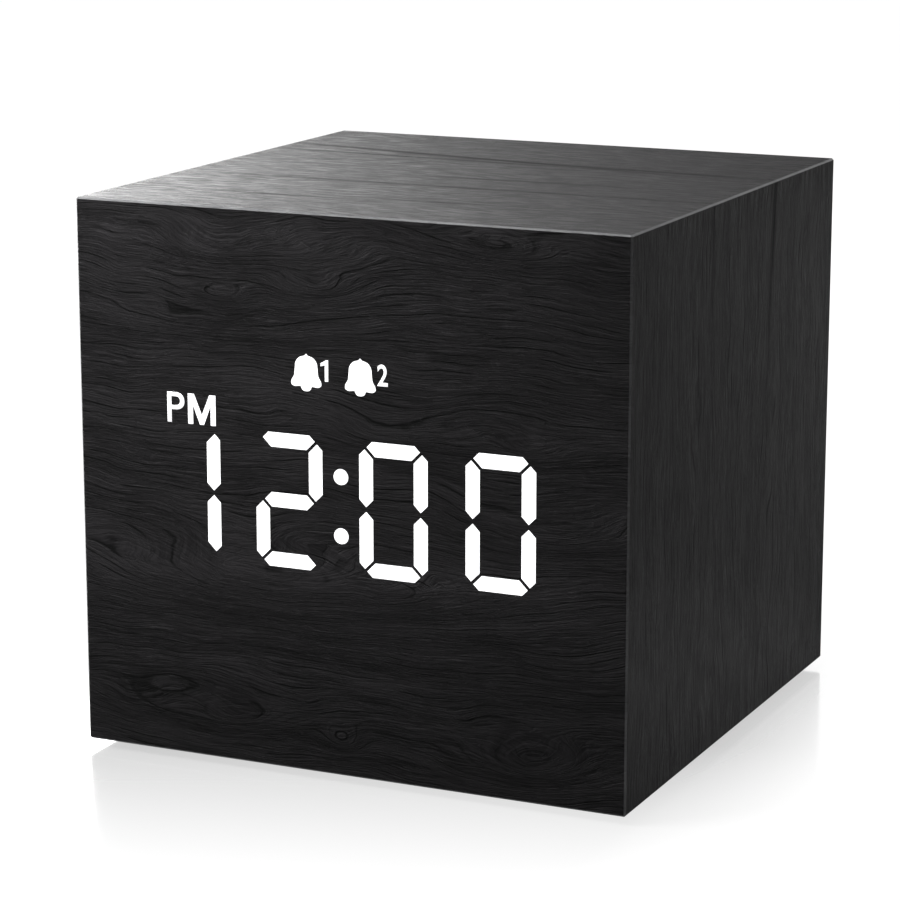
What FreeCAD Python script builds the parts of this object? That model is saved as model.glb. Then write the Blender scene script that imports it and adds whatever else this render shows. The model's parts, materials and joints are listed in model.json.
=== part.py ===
"""A talking clock in a cube of mitred boards wrapped in black wood-grain film.

The frame is in millimetres: +X to the right as the display is read, +Y from the display to
the back, +Z up. The origin is under the middle of the cube, on what it stands on.
"""

import math
import os
import re

import FreeCAD
import Part
import Sketcher

CABINET = {
    "film_thick": 0.25,
    "board_thick": 4.0,
    "edge_soften": 0.2,  # worn corner where the film folds
    "foot_lift": 1.0,
    "foot_dia": 8.0,
    "foot_taper": 0.5,  # the foot's lower face is this much smaller in radius
    "foot_inset": 7.0,  # foot centre from the cabinet's faces
    "overrun": 1.0,  # every cut runs past its piece by this much
}

DISPLAY = {
    "display_shift": -0.5,  # the digits sit a little left of centre
    "digit_drop": 0.65,  # middle of the digits below the cabinet's middle
    "digit_pitch": 12.6,
    "digit_width": 8.15,
    "digit_tall": 15.1,
    "stroke": 1.65,
    "corner_cut": 1.55,
    "segment_gap": 0.36,
    "colon_rise": 3.3,
    "colon_dia": 1.75,
    "lens_deep": 1.2,
    "lens_play": 0.03,
    "block_side_margin": 1.025,  # white light block past the digits and signs
    "block_low_margin": 2.65,
    "block_high_margin": 1.9,
    "flange_thick": 2.0,
    "flange_reach": 3.8,
    "window_play": 0.2,
    "display_room": 0.95,  # beside the display's flange
    "pm_inset": 1.275,  # afternoon sign's window from the left end of the digits
    "pm_gap": 0.35,  # and above them
    "pm_width": 6.8,
    "pm_tall": 3.1,
    "alarm_shift": -0.3,  # middle of the two alarm signs
    "alarm_pitch": 6.7,
    "alarm_gap": 4.55,  # alarm signs above the digits
    "alarm_width": 5.4,
    "alarm_tall": 4.8,
    "led_long": 1.6,
    "led_wide": 0.8,
    "led_tall": 0.7,
    "card_thick": 1.6,  # both circuit cards
    "flange_screw_inset": 1.9,  # screw centre from the side edge of the display card
    "flange_screw_rise": 3.0,  # and from its upper and lower edges
}

SCREW = {
    "screw_dia": 2.0,
    "screw_head_dia": 3.6,
    "screw_head_tall": 1.2,
    "screw_head_edge": 0.4,
    "screw_play": 0.05,
    "screw_bite": 3.2,  # how far a screw goes into a board or standoff
    "clamp_bite": 2.2,  # and into the low bosses beside the speaker
    "screw_tip": 0.6,
    "cover_screw_dia": 2.2,
    "cover_screw_head_dia": 4.4,
    "cover_screw_long": 9.0,
}

COVER = {
    "cover_recess": 1.5,  # back cover's face inside the rear rim
    "cover_thick": 2.0,
    "cover_play": 0.35,
    "cover_round": 1.0,
    "rib_tall": 1.2,  # stiffening rib inside the cover
    "rib_wide": 1.2,
    "block_side": 6.0,  # wood blocks glued in the rear corners
    "block_long": 12.0,
    "standoff_tall": 6.0,
    "standoff_dia": 4.2,
}

KEYS = {
    "key_row_gap": 7.1,  # key row above the speaker's ring
    "key_top_room": 0.75,  # largest key's flange below the top board
    "talk_key_dia": 9.0,
    "talk_key_inset": 6.0,  # its middle from the end of the main card
    "key_dia": 6.5,
    "key_gap": 3.25,
    "key_play": 0.2,
    "key_proud": 0.8,
    "key_edge": 0.4,
    "key_flange_reach": 0.8,
    "key_flange_thick": 0.8,
    "key_seat_gap": 0.05,
    "key_mark_long": 2.6,
    "key_mark_wide": 0.6,
    "key_mark_tall": 0.25,
    "talk_mark_dia": 2.0,
    "switch_side": 6.0,
    "switch_tall": 3.5,
    "plunger_dia": 3.5,
    "plunger_proud": 0.8,
    "plunger_deep": 0.7,
    "plunger_room": 0.5,  # free depth under the plunger
}

MAIN_CARD = {
    "card_room": 1.25,  # card's end from the corner blocks
    "card_screw_inset": 1.9,
    "card_screw_gap": 2.0,  # screws below the talk key's edge
    "card_low_margin": 2.1,
    "card_high_margin": 0.9,  # card's upper edge above the talk key's
    "rest_inset": 0.2,  # pads under the card's upper edge
    "rest_tall": 2.3,
    "rest_width": 2.4,
    "socket_shift": 10.5,
    "socket_drop": 6.0,
    "socket_width": 8.9,
    "socket_tall": 3.2,
    "socket_wall": 0.3,
    "socket_inset": 0.3,
    "socket_play": 0.25,
    "tongue_width": 6.2,
    "tongue_thick": 0.7,
    "tongue_long": 5.0,
    "chip_drop": 4.65,  # middle of the chips below the card's upper edge
    "clock_chip_long": 12.8,
    "clock_chip_wide": 7.5,
    "clock_chip_tall": 2.3,
    "clock_chip_shift": -3.0,
    "voice_chip_long": 9.9,
    "voice_chip_wide": 5.0,
    "voice_chip_tall": 1.6,
    "voice_chip_shift": 10.5,
    "crystal_dia": 2.0,
    "crystal_long": 6.0,
    "crystal_inset": 3.0,
    "capacitor_dia": 5.0,
    "capacitor_tall": 7.0,
    "capacitor_inset": 3.5,
    "plug_width": 13.0,  # white sockets at the ribbon's two ends
    "plug_tall": 4.0,
    "plug_deep": 3.0,
    "plug_inset": 0.8,  # from the upper edge of the display card and the lower edge of the main card
    "ribbon_width": 11.0,
    "ribbon_thick": 0.3,
    "ribbon_straight": 4.0,  # level part at each end
    "ribbon_slack": 5.0,  # how far its middle hangs
    "ribbon_bend": 8.0,
    "ribbon_belly": 30.0,
}

SPEAKER = {
    "speaker_gap": 0.35,  # speaker's ring above the battery tray
    "speaker_dia": 28.0,
    "speaker_play": 0.15,
    "gasket_thick": 1.5,
    "gasket_wide": 1.5,
    "rim_thick": 1.2,
    "frame_wall": 0.6,
    "frame_slope": 2.6,  # how far the cup draws in
    "frame_deep": 4.6,
    "ring_wall": 1.25,
    "roll_width": 2.0,  # soft roll round the cone
    "cone_rise": 0.4,  # cone's rim behind the frame's front face
    "cone_deep": 3.4,
    "paper_thick": 0.35,
    "coil_dia": 9.4,
    "coil_wall": 0.35,
    "coil_reach": 6.6,
    "coil_play": 0.35,
    "dome_rise": 1.3,
    "yoke_wall": 2.95,
    "yoke_deep": 4.0,
    "yoke_base": 1.0,
    "grille_hole": 2.2,
    "grille_step": 4.0,
    "clamp_width": 4.5,
    "clamp_thick": 1.0,
    "clamp_overlap": 0.8,
    "clamp_screw_gap": 2.6,  # clamp screw from the locating ring
}

BATTERY = {
    "aaa_dia": 10.5,
    "aaa_long": 44.5,
    "aaa_nub_dia": 3.8,
    "aaa_nub_tall": 1.2,
    "aaa_edge": 0.5,
    "cell_gap": 0.4,
    "cell_seat_gap": 0.2,
    "tray_side_play": 0.45,
    "tray_wall": 1.5,
    "tray_front_room": 1.95,
    "tray_rear_room": 4.3,
    "tray_side_room": 0.65,  # tray's flange from the corner blocks
    "tray_play": 0.2,
    "tray_flange_reach": 4.0,
    "tray_flange_thick": 1.5,
    "tray_screw_inset": 8.0,
    "tray_rib_wide": 2.0,
    "tray_rib_tall": 1.2,
    "spring_room": 3.3,
    "button_room": 1.2,
    "contact_thick": 0.4,
    "contact_width": 7.0,
    "contact_tall": 5.4,
    "button_dia": 3.2,
    "leaf_width": 4.0,
    "door_thick": 1.4,
    "door_inset": 0.15,
    "door_play": 0.25,
    "ledge_wide": 0.8,
    "ledge_tall": 1.0,
    "ledge_gap": 0.1,
    "ledge_start": 4.0,
    "hinge_inset": 1.9,  # hinge pins from the tray's front wall
    "hinge_pin_dia": 1.0,
    "hinge_pin_long": 1.0,
    "hinge_pin_play": 0.05,
    "latch_width": 6.0,
    "latch_leg": 0.6,
    "latch_tall": 3.3,
    "latch_depth": 2.05,
    "latch_gap": 0.3,
    "latch_nose": 0.7,
    "nose_low": 1.5,
    "nose_high": 2.3,
    "nose_play": 0.2,
    "finger_play": 0.6,
    "grip_width": 14.0,
    "grip_step": 1.6,
    "grip_deep": 0.35,
    "grip_wide": 0.7,
}

SIZES = {**CABINET, **DISPLAY, **SCREW, **COVER, **KEYS, **MAIN_CARD, **SPEAKER, **BATTERY}

DIGITS = {"hour_tens": "bc", "hour_units": "abged", "minute_tens": "abcdef", "minute_units": "abcdef"}
DIGIT_STEPS = len(DIGITS) - 1

DERIVED = {
    "shell_wall": "film_thick + board_thick",
    "cell_pitch": "aaa_dia + cell_gap",
    "bay_half_width": "cell_pitch + aaa_dia / 2 + tray_side_play",  # the tray's inside
    "bay_long": "aaa_long + spring_room + button_room",
    "tray_half_width": "bay_half_width + tray_wall",
    "flange_half_width": "tray_half_width + tray_flange_reach",
    "digits_half_width": f"(digit_pitch * {DIGIT_STEPS} + digit_width) / 2",
    "light_half_width": "digits_half_width + block_side_margin",
    "display_half_width": "light_half_width + flange_reach",
    "room_beside_tray": "tray_side_room + block_side",
    "inner_half_width": "max(display_half_width + display_room; flange_half_width + room_beside_tray)",
    "half_width": "inner_half_width + shell_wall",
    "tray_long": "bay_long + tray_wall * 2",
    "room_behind_tray": "tray_rear_room + cover_thick + cover_recess",
    "cabinet_depth": "shell_wall + tray_front_room + tray_long + room_behind_tray",
    "front_y": "-cabinet_depth / 2",
    "back_y": "cabinet_depth / 2",
    "board_front_y": "front_y + film_thick",
    "inner_front_y": "front_y + shell_wall",
    "board_back_y": "back_y - film_thick",
    "display_card_y": "inner_front_y + flange_thick",
    "display_card_back_y": "display_card_y + card_thick",
    "cover_face_y": "back_y - cover_recess",
    "cover_inner_y": "cover_face_y - cover_thick",
    "card_rear_y": "cover_inner_y - standoff_tall",
    "card_front_y": "card_rear_y - card_thick",
    "speaker_face_y": "cover_inner_y - gasket_thick",
    "bay_front_y": "inner_front_y + tray_front_room + tray_wall",
    "bay_rear_y": "bay_front_y + bay_long",
    "hinge_y": "bay_front_y + hinge_inset",
    "base_z": "foot_lift",
    "inner_base_z": "base_z + shell_wall",
    "door_low_z": "base_z + door_inset",
    "door_top_z": "door_low_z + door_thick",
    "hinge_z": "door_low_z + door_thick / 2",
    "cell_z": "door_top_z + cell_seat_gap + aaa_dia / 2",
    "bay_roof_z": "cell_z + aaa_dia / 2 + tray_play",
    "ring_radius": "speaker_dia / 2 + speaker_play + ring_wall",
    "speaker_z": "bay_roof_z + tray_wall + speaker_gap + ring_radius",
    "key_z": "speaker_z + ring_radius + key_row_gap",
    "inner_top_z": "key_z + talk_key_dia / 2 + key_flange_reach + key_top_room",
    "top_z": "inner_top_z + shell_wall",
    "digit_z": "(base_z + top_z) / 2 - digit_drop",
    "pm_shift": "-digits_half_width + pm_inset + pm_width / 2",
    "pm_rise": "digit_tall / 2 + pm_gap + pm_tall / 2",
    "alarm_rise": "digit_tall / 2 + alarm_gap + alarm_tall / 2",
    "light_low_z": "digit_z - digit_tall / 2 - block_low_margin",
    "light_top_z": "digit_z + alarm_rise + alarm_tall / 2 + block_high_margin",
    "card_half_width": "inner_half_width - block_side - card_room",
    "card_screw_z": "key_z - talk_key_dia / 2 - card_screw_gap",
    "card_low_z": "card_screw_z - card_low_margin",
    "card_top_z": "key_z + talk_key_dia / 2 + card_high_margin",
    "talk_key_x": "-card_half_width + talk_key_inset",
    "set_key_x": "talk_key_x + talk_key_dia / 2 + key_gap + key_dia / 2",
    "key_pitch": "key_dia + key_gap",
    "clamp_reach": "speaker_play + ring_wall + clamp_screw_gap",
    "speaker_lip": "speaker_dia / 2 - gasket_wide",
    "cone_radius": "speaker_lip - roll_width",
    "cup_radius": "speaker_lip - frame_slope",
    "gap_radius": "coil_dia / 2 + coil_play",
    "pole_radius": "coil_dia / 2 - coil_wall - coil_play",
}

SOFTEN_SHARE = 0.8  # a softened edge takes at most this share of the film
DOME_FLAT_SHARE = 0.55  # flat middle of the speaker's dome, of the coil's inside
GRILLE_RINGS = (6, 12)  # holes in each ring round the middle one
GRIP_RIDGES = 3

SOFTEN = f"min(edge_soften; film_thick * {SOFTEN_SHARE})"
LIGHT_LEFT = "(display_shift - light_half_width)"
LIGHT_RIGHT = "(display_shift + light_half_width)"

UPRIGHT = FreeCAD.Rotation(FreeCAD.Vector(1, 0, 0), 90)  # turns +Z to -Y, so a piece faces the display
REARWARD = FreeCAD.Rotation(FreeCAD.Vector(1, 0, 0), -90)  # turns +Z to +Y, so a piece faces the back
LEVEL = FreeCAD.Rotation()

NAMES = {*SIZES, *DERIVED}

doc = FreeCAD.newDocument("talking_clock")
sheet = doc.addObject("Spreadsheet::Sheet", "Sizes")
pieces = {}


def fill_sheet():
    """Writes each driving size, then each size that follows from them, in a row under its own name."""
    for row, (alias, words) in enumerate({**SIZES, **DERIVED}.items(), start=1):
        sheet.set(f"A{row}", alias)
        sheet.set(f"B{row}", f"={words}" if alias in DERIVED else str(words))
        sheet.setAlias(f"B{row}", alias)
    doc.recompute()


def expression(words):
    """The words with each size named as the sheet's own."""
    return re.sub(r"[a-z][a-z0-9_]*", lambda m: "Sizes." * (m.group() in NAMES) + m.group(), words)


def value(words):
    """What the words come to, in millimetres."""
    found = sheet.evalExpression(expression(words))
    return float(getattr(found, "Value", found))


def bind(thing, prop, words):
    """Ties a property to the sheet."""
    thing.setExpression(prop, expression(words))


def place(thing, x="0", y="0", z="0", turn=LEVEL):
    """Puts an object at a point worked out from the sheet."""
    thing.Placement = FreeCAD.Placement(FreeCAD.Vector(value(x), value(y), value(z)), turn)
    for side, words in zip("xyz", (x, y, z)):
        bind(thing, f"Placement.Base.{side}", words)


def name_piece(thing, label):
    """Makes an object one of the clock's sub-parts."""
    thing.Label = label
    pieces[label] = thing
    return thing


# Sketches

SIDES = {"XY_Plane": "z", "XZ_Plane": "-y", "YZ_Plane": "x"}


def sketch_on(body, name, plane, at="0", middle=("0", "0")):
    """A sketch on one of the body's planes, moved to the place at along the frame's own axis."""
    sketch = body.newObject("Sketcher::SketchObject", name)
    origin = next(f for f in body.Origin.OriginFeatures if f.Role == plane)
    sketch.AttachmentSupport = (origin, [""])
    sketch.MapMode = "FlatFace"
    sign = "-" if SIDES[plane].startswith("-") else ""
    bind(sketch, "AttachmentOffset.Base.x", middle[0])
    bind(sketch, "AttachmentOffset.Base.y", middle[1])
    bind(sketch, "AttachmentOffset.Base.z", f"{sign}({at})")
    return sketch


def free_sketch(name, y):
    """A sketch that stands upright at depth y and belongs to no body."""
    sketch = doc.addObject("Sketcher::SketchObject", name)
    place(sketch, y=y, turn=UPRIGHT)
    return sketch


def pin(sketch, geometry, point, x, y):
    """Fixes one point of the sketch at x and y from its origin."""
    for kind, words in (("DistanceX", x), ("DistanceY", y)):
        rule = sketch.addConstraint(Sketcher.Constraint(kind, -1, 1, geometry, point, value(words)))
        bind(sketch, f"Constraints[{rule}]", words)


def arc_between(start, end, radius):
    """An arc that turns left on its way from start to end, or right if the radius is negative."""
    chord = end - start
    across = FreeCAD.Vector(chord.y, -chord.x, 0).normalize() * math.copysign(1, radius)
    rise = abs(radius) - math.sqrt(max(0, radius**2 - (chord.Length / 2) ** 2))
    middle = (start + end) / 2 + across * rise
    return Part.Arc(start, middle, end) if radius > 0 else Part.Arc(end, middle, start)


def outline(sketch, points):
    """A closed outline of (x, y) points.

    A point is (x, y, radius) where an arc runs from it to the next, and (x, y, radius, centre x)
    where that arc is a half circle. The outline turns left on an arc unless its radius is negative.
    """
    first, start_rule = sketch.GeometryCount, sketch.ConstraintCount
    count = len(points)
    spots = [FreeCAD.Vector(value(p[0]), value(p[1]), 0) for p in points]
    edges, ends, rules, sizes = [], [], [], []

    def add_rule(kind, words, *where):
        sizes.append((start_rule + len(rules), words))
        rules.append(Sketcher.Constraint(kind, *where, value(words)))

    for i, p in enumerate(points):
        start, end = spots[i], spots[(i + 1) % count]
        radius = value(p[2]) if len(p) > 2 else 0
        edges.append(arc_between(start, end, radius) if radius else Part.LineSegment(start, end))
        ends.append((2, 1) if radius < 0 else (1, 2))
    for i in range(count):
        following = (i + 1) % count
        near, far = (first + i, ends[i][1]), (first + following, ends[following][0])
        rules.append(Sketcher.Constraint("Coincident", *near, *far))
    for i, p in enumerate(points):
        add_rule("DistanceX", p[0], -1, 1, first + i, ends[i][0])
        add_rule("DistanceY", p[1], -1, 1, first + i, ends[i][0])
        if len(p) == 3:
            add_rule("Radius", p[2].removeprefix("-"), first + i)
        if len(p) == 4:
            add_rule("DistanceX", p[3], -1, 1, first + i, 3)
    sketch.addGeometry(edges, False)
    sketch.addConstraint(rules)
    for number, words in sizes:
        bind(sketch, f"Constraints[{number}]", words)


def rectangle(sketch, x, y):
    """A rectangle between two x and two y."""
    outline(sketch, [(x[0], y[0]), (x[1], y[0]), (x[1], y[1]), (x[0], y[1])])


def circle(sketch, x, y, dia):
    """A circle of a named diameter."""
    spot = FreeCAD.Vector(value(x), value(y), 0)
    round_edge = sketch.addGeometry(Part.Circle(spot, FreeCAD.Vector(0, 0, 1), value(dia) / 2), False)
    pin(sketch, round_edge, 3, x, y)
    rule = sketch.addConstraint(Sketcher.Constraint("Diameter", round_edge, value(dia)))
    bind(sketch, f"Constraints[{rule}]", dia)


def slot(sketch, x, y, width, tall):
    """A slot with round ends, lying level."""
    reach = f"({width} - {tall}) / 2"
    half = f"({tall}) / 2"
    outline(
        sketch,
        [
            (f"{x} - {reach}", f"{y} - {half}"),
            (f"{x} + {reach}", f"{y} - {half}", half, f"{x} + {reach}"),
            (f"{x} + {reach}", f"{y} + {half}"),
            (f"{x} - {reach}", f"{y} + {half}", half, f"{x} - {reach}"),
        ],
    )


# Features and solids


def body_named(name):
    """An empty body to build a piece in."""
    return doc.addObject("PartDesign::Body", name)


def pad(body, sketch, length, towards="+"):
    """Material from the sketch, along the frame's own axis or against it."""
    feature = body.newObject("PartDesign::Pad", sketch.Name + "_pad")
    feature.Profile = sketch
    bind(feature, "Length", length)
    negative_normal = sketch.AttachmentSupport[0][0].Role == "XZ_Plane"
    feature.Reversed = (towards == "+") == negative_normal
    sketch.Visibility = False
    return feature


def pocket(body, sketch, length=None, towards="+"):
    """A cut from the sketch, through all of the piece both ways if no length is given."""
    feature = body.newObject("PartDesign::Pocket", sketch.Name + "_cut")
    feature.Profile = sketch
    if length is None:
        feature.Type = "ThroughAll"
        feature.Midplane = True
        return feature
    bind(feature, "Length", length)
    negative_normal = sketch.AttachmentSupport[0][0].Role == "XZ_Plane"
    feature.Reversed = (towards == "+") != negative_normal
    return feature


def turned(name, points, **where):
    """A body turned about its own upright axis from an outline of (radius, height) points."""
    body = body_named(name)
    sketch = sketch_on(body, name + "_half", "XZ_Plane")
    outline(sketch, points)
    feature = body.newObject("PartDesign::Revolution", name + "_turn")
    feature.Profile = sketch
    feature.ReferenceAxis = (sketch, ["V_Axis"])
    feature.Angle = 360
    place(body, **where)
    return body


def block(name, x, y, z):
    """A box between two x, two y and two z."""
    box = doc.addObject("Part::Box", name)
    for prop, (low, high) in zip(("Length", "Width", "Height"), (x, y, z)):
        bind(box, prop, f"({high}) - ({low})")
    place(box, x[0], y[0], z[0])
    return box


def rod(name, dia, length, x, y, z, turn=LEVEL):
    """A cylinder from a point."""
    cylinder = doc.addObject("Part::Cylinder", name)
    bind(cylinder, "Radius", f"({dia}) / 2")
    bind(cylinder, "Height", length)
    place(cylinder, x, y, z, turn)
    return cylinder


def extrusion(name, sketch, rearward, frontward="0"):
    """Every outline of an upright sketch drawn out to both sides of it."""
    solid = doc.addObject("Part::Extrusion", name)
    solid.Base = sketch
    solid.DirMode = "Normal"
    solid.Solid = True
    bind(solid, "LengthFwd", frontward)
    bind(solid, "LengthRev", rearward)
    return solid


def cut(name, base, tool):
    """The base without the tool."""
    result = doc.addObject("Part::Cut", name)
    result.Base = base
    result.Tool = tool
    return result


def group(name, members):
    """Several solids side by side as one object."""
    result = doc.addObject("Part::Compound", name)
    result.Links = members
    return result


def copies(name, original, places, turn=LEVEL):
    """The same piece at each of several (x, y, z) places."""
    links = []
    for number, spot in enumerate(places, start=1):
        link = doc.addObject("App::Link", f"{name}_{number}")
        link.LinkedObject = original
        place(link, *spot, turn)
        links.append(link)
    return group(name + "_set", links)


# Cabinet


def mitred_board(name, outer, inner, turn, **where):
    """A board whose outer and inner faces have these (x, z) spans, the outer face at the start of its thickness."""
    board = doc.addObject("Part::Wedge", name)
    spans = {"X": outer[0], "Z": outer[1], "X2": inner[0], "Z2": inner[1]}
    for side, (low, high) in spans.items():
        bind(board, side + "min", low)
        bind(board, side + "max", high)
    bind(board, "Ymin", "0")
    bind(board, "Ymax", "board_thick")
    place(board, turn=turn, **where)
    return board


def make_boards():
    """Five boards of one thickness, mitred where they meet. The rear is open for the cover."""
    across = ("-half_width + film_thick", "half_width - film_thick")
    across_in = ("-half_width + shell_wall", "half_width - shell_wall")
    upright = ("base_z + film_thick", "top_z - film_thick")
    upright_in = ("base_z + shell_wall", "top_z - shell_wall")
    deep = ("board_front_y", "board_back_y")
    deep_in = ("inner_front_y", "board_back_y")
    deep_back = ("-board_back_y", "-board_front_y")
    deep_back_in = ("-board_back_y", "-inner_front_y")
    about_z = FreeCAD.Vector(0, 0, 1)
    faces = ((across, upright), (across_in, upright_in))
    front = mitred_board("front_blank", *faces, LEVEL, y="board_front_y")
    top = mitred_board("top_blank", (across, deep), (across_in, deep_in), REARWARD, z="top_z - film_thick")
    bottom = mitred_board(
        "bottom_blank", (across, deep_back), (across_in, deep_back_in), UPRIGHT, z="base_z + film_thick"
    )
    right = mitred_board(
        "right_blank",
        (deep, upright),
        (deep_in, upright_in),
        FreeCAD.Rotation(about_z, 90),
        x="half_width - film_thick",
    )
    left = mitred_board(
        "left_blank",
        (deep_back, upright),
        (deep_back_in, upright_in),
        FreeCAD.Rotation(about_z, -90),
        x="-half_width + film_thick",
    )
    name_piece(cut("front_board_cut", front, group("front_tools", front_openings())), "front_board")
    name_piece(cut("bottom_board_cut", bottom, group("bottom_tools", bottom_openings())), "bottom_board")
    name_piece(top, "top_board")
    name_piece(left, "left_board")
    name_piece(right, "right_board")


def front_openings():
    """The window for the light block, and pilot holes for the four screws beside it."""
    window = block(
        "display_window",
        (f"{LIGHT_LEFT} - window_play", f"{LIGHT_RIGHT} + window_play"),
        ("board_front_y - overrun", "inner_front_y + overrun"),
        ("light_low_z - window_play", "light_top_z + window_play"),
    )
    pilots = [
        rod(
            f"display_pilot_{i}",
            "screw_dia + screw_play * 2",
            "screw_bite + overrun",
            x,
            "inner_front_y + overrun",
            z,
            UPRIGHT,
        )
        for i, (x, z) in enumerate(display_screw_spots())
    ]
    return [window, *pilots]


def bottom_openings():
    """The opening that the battery tray drops into, and pilot holes for the tray's screws."""
    opening = block(
        "tray_opening",
        ("-bay_half_width - tray_wall - tray_play", "bay_half_width + tray_wall + tray_play"),
        ("bay_front_y - tray_wall - tray_play", "bay_rear_y + tray_wall + tray_play"),
        ("base_z - overrun", "base_z + shell_wall + overrun"),
    )
    pilots = [
        rod(
            f"tray_pilot_{i}",
            "screw_dia + screw_play * 2",
            "screw_bite + overrun",
            x,
            y,
            "base_z + shell_wall - screw_bite",
        )
        for i, (x, y) in enumerate(tray_screw_spots())
    ]
    return [opening, *pilots]


def make_sleeve_film():
    """One strip of film folded round the top, sides and underside, and over the rear rim to the cover."""
    body = body_named("sleeve")
    section = sketch_on(body, "sleeve_section", "XZ_Plane", "board_front_y")
    rectangle(section, ("-half_width", "half_width"), ("base_z", "top_z"))
    rectangle(
        section,
        ("-half_width + film_thick", "half_width - film_thick"),
        ("base_z + film_thick", "top_z - film_thick"),
    )
    tube = pad(body, section, "cabinet_depth - film_thick")
    doc.recompute()
    half_width, low, high = value("half_width"), value("base_z"), value("top_z")
    folds = [
        f"Edge{i}"
        for i, edge in enumerate(tube.Shape.Edges, start=1)
        if all(
            math.isclose(abs(v.X), half_width) and (math.isclose(v.Z, low) or math.isclose(v.Z, high))
            for v in edge.Vertexes
        )
        and abs(edge.Vertexes[0].Y - edge.Vertexes[1].Y) > half_width
    ]
    soft = body.newObject("PartDesign::Chamfer", "sleeve_folds")
    soft.Base = (tube, folds)
    bind(soft, "Size", SOFTEN)
    opening = sketch_on(body, "sleeve_opening", "XY_Plane", "base_z")
    rectangle(
        opening,
        ("-bay_half_width - tray_wall - tray_play", "bay_half_width + tray_wall + tray_play"),
        ("bay_front_y - tray_wall - tray_play", "bay_rear_y + tray_wall + tray_play"),
    )
    pocket(body, opening, "film_thick + overrun")
    inner = (("-inner_half_width", "inner_half_width"), ("inner_base_z", "inner_top_z"))
    rim = sketch_on(body, "sleeve_rim", "XZ_Plane", "board_back_y")
    rectangle(
        rim,
        ("-half_width + film_thick", "half_width - film_thick"),
        ("base_z + film_thick", "top_z - film_thick"),
    )
    rectangle(rim, *inner)
    pad(body, rim, "film_thick")
    lining = sketch_on(body, "sleeve_lining", "XZ_Plane", "cover_face_y")
    rectangle(lining, *inner)
    rectangle(
        lining,
        ("-inner_half_width + film_thick", "inner_half_width - film_thick"),
        ("inner_base_z + film_thick", "inner_top_z - film_thick"),
    )
    pad(body, lining, "cover_recess")
    name_piece(body, "sleeve_film")


def make_front_film(lit_sketches):
    """The film over the display face, softened all round, open where the lit segments come through."""
    body = body_named("face")
    section = sketch_on(body, "face_section", "XZ_Plane", "front_y")
    rectangle(section, ("-half_width", "half_width"), ("base_z", "top_z"))
    sheet_pad = pad(body, section, "film_thick")
    doc.recompute()
    front = value("front_y")
    rims = [
        f"Edge{i}"
        for i, edge in enumerate(sheet_pad.Shape.Edges, start=1)
        if all(math.isclose(v.Y, front) for v in edge.Vertexes)
        or abs(edge.Vertexes[0].Y - edge.Vertexes[1].Y) > value("film_thick") / 2
    ]
    soft = body.newObject("PartDesign::Chamfer", "face_rim")
    soft.Base = (sheet_pad, rims)
    bind(soft, "Size", SOFTEN)
    holes = [extrusion(s.Name + "_hole", s, "film_thick + overrun", "overrun") for s in lit_sketches]
    name_piece(cut("face_cut", body, group("face_holes", holes)), "front_film")


def make_feet():
    """Four stuck-on rubber feet, a little smaller where they touch the table."""
    foot = doc.addObject("Part::Cone", "foot")
    bind(foot, "Radius1", "foot_dia / 2 - foot_taper")
    bind(foot, "Radius2", "foot_dia / 2")
    bind(foot, "Height", "foot_lift")
    spots = [
        (f"{x}(half_width - foot_inset)", f"{y}(cabinet_depth / 2 - foot_inset)", "0")
        for x in ("-", "")
        for y in ("-", "")
    ]
    name_piece(copies("foot", foot, spots), "rubber_feet")


# Display

TIP = "(segment_gap / sqrt(2))"


def digits():
    """(name, steps from the middle of the display, lit segments) of the four digits."""
    return [(name, place - DIGIT_STEPS / 2, lit) for place, (name, lit) in enumerate(DIGITS.items())]


def digit_x(step):
    """Middle of the digit that is so many pitches from the middle of the display."""
    return f"(display_shift + digit_pitch * {step})"


def level_bar(x, up):
    """The top or bottom segment, whose outer corners are cut off."""
    heights = ("digit_tall / 2", f"digit_tall / 2 - corner_cut / 2 + {TIP} / 2", "digit_tall / 2 - stroke")
    reaches = (
        "digit_width / 2 - corner_cut",
        f"digit_width / 2 - corner_cut / 2 - {TIP} / 2",
        f"digit_width / 2 - stroke - {TIP}",
    )
    right = [(f"{x} + ({r})", f"digit_z {up} ({h})") for r, h in zip(reaches, heights)]
    left = [(f"{x} - ({r})", f"digit_z {up} ({h})") for r, h in zip(reaches, heights)]
    return right + left[::-1]


def upright_bar(x, side, up):
    """One of the four side segments: cut at the digit's corner, pointed at its middle."""
    corners = [
        ("digit_width / 2", "digit_tall / 2 - corner_cut"),
        (f"digit_width / 2 - corner_cut / 2 + {TIP} / 2", f"digit_tall / 2 - corner_cut / 2 - {TIP} / 2"),
        ("digit_width / 2 - stroke", f"digit_tall / 2 - stroke - {TIP}"),
        ("digit_width / 2 - stroke", f"{TIP} + stroke / 2"),
        ("digit_width / 2 - stroke / 2", TIP),
        ("digit_width / 2", f"{TIP} + stroke / 2"),
    ]
    return [(f"{x} {side} ({r})", f"digit_z {up} ({h})") for r, h in corners]


def middle_bar(x):
    """The middle segment, pointed at both ends."""
    tip, shoulder = f"digit_width / 2 - stroke / 2 - {TIP}", f"digit_width / 2 - stroke - {TIP}"
    return [
        (f"{x} - ({tip})", "digit_z"),
        (f"{x} - ({shoulder})", "digit_z + stroke / 2"),
        (f"{x} + ({shoulder})", "digit_z + stroke / 2"),
        (f"{x} + ({tip})", "digit_z"),
        (f"{x} + ({shoulder})", "digit_z - stroke / 2"),
        (f"{x} - ({shoulder})", "digit_z - stroke / 2"),
    ]


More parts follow.
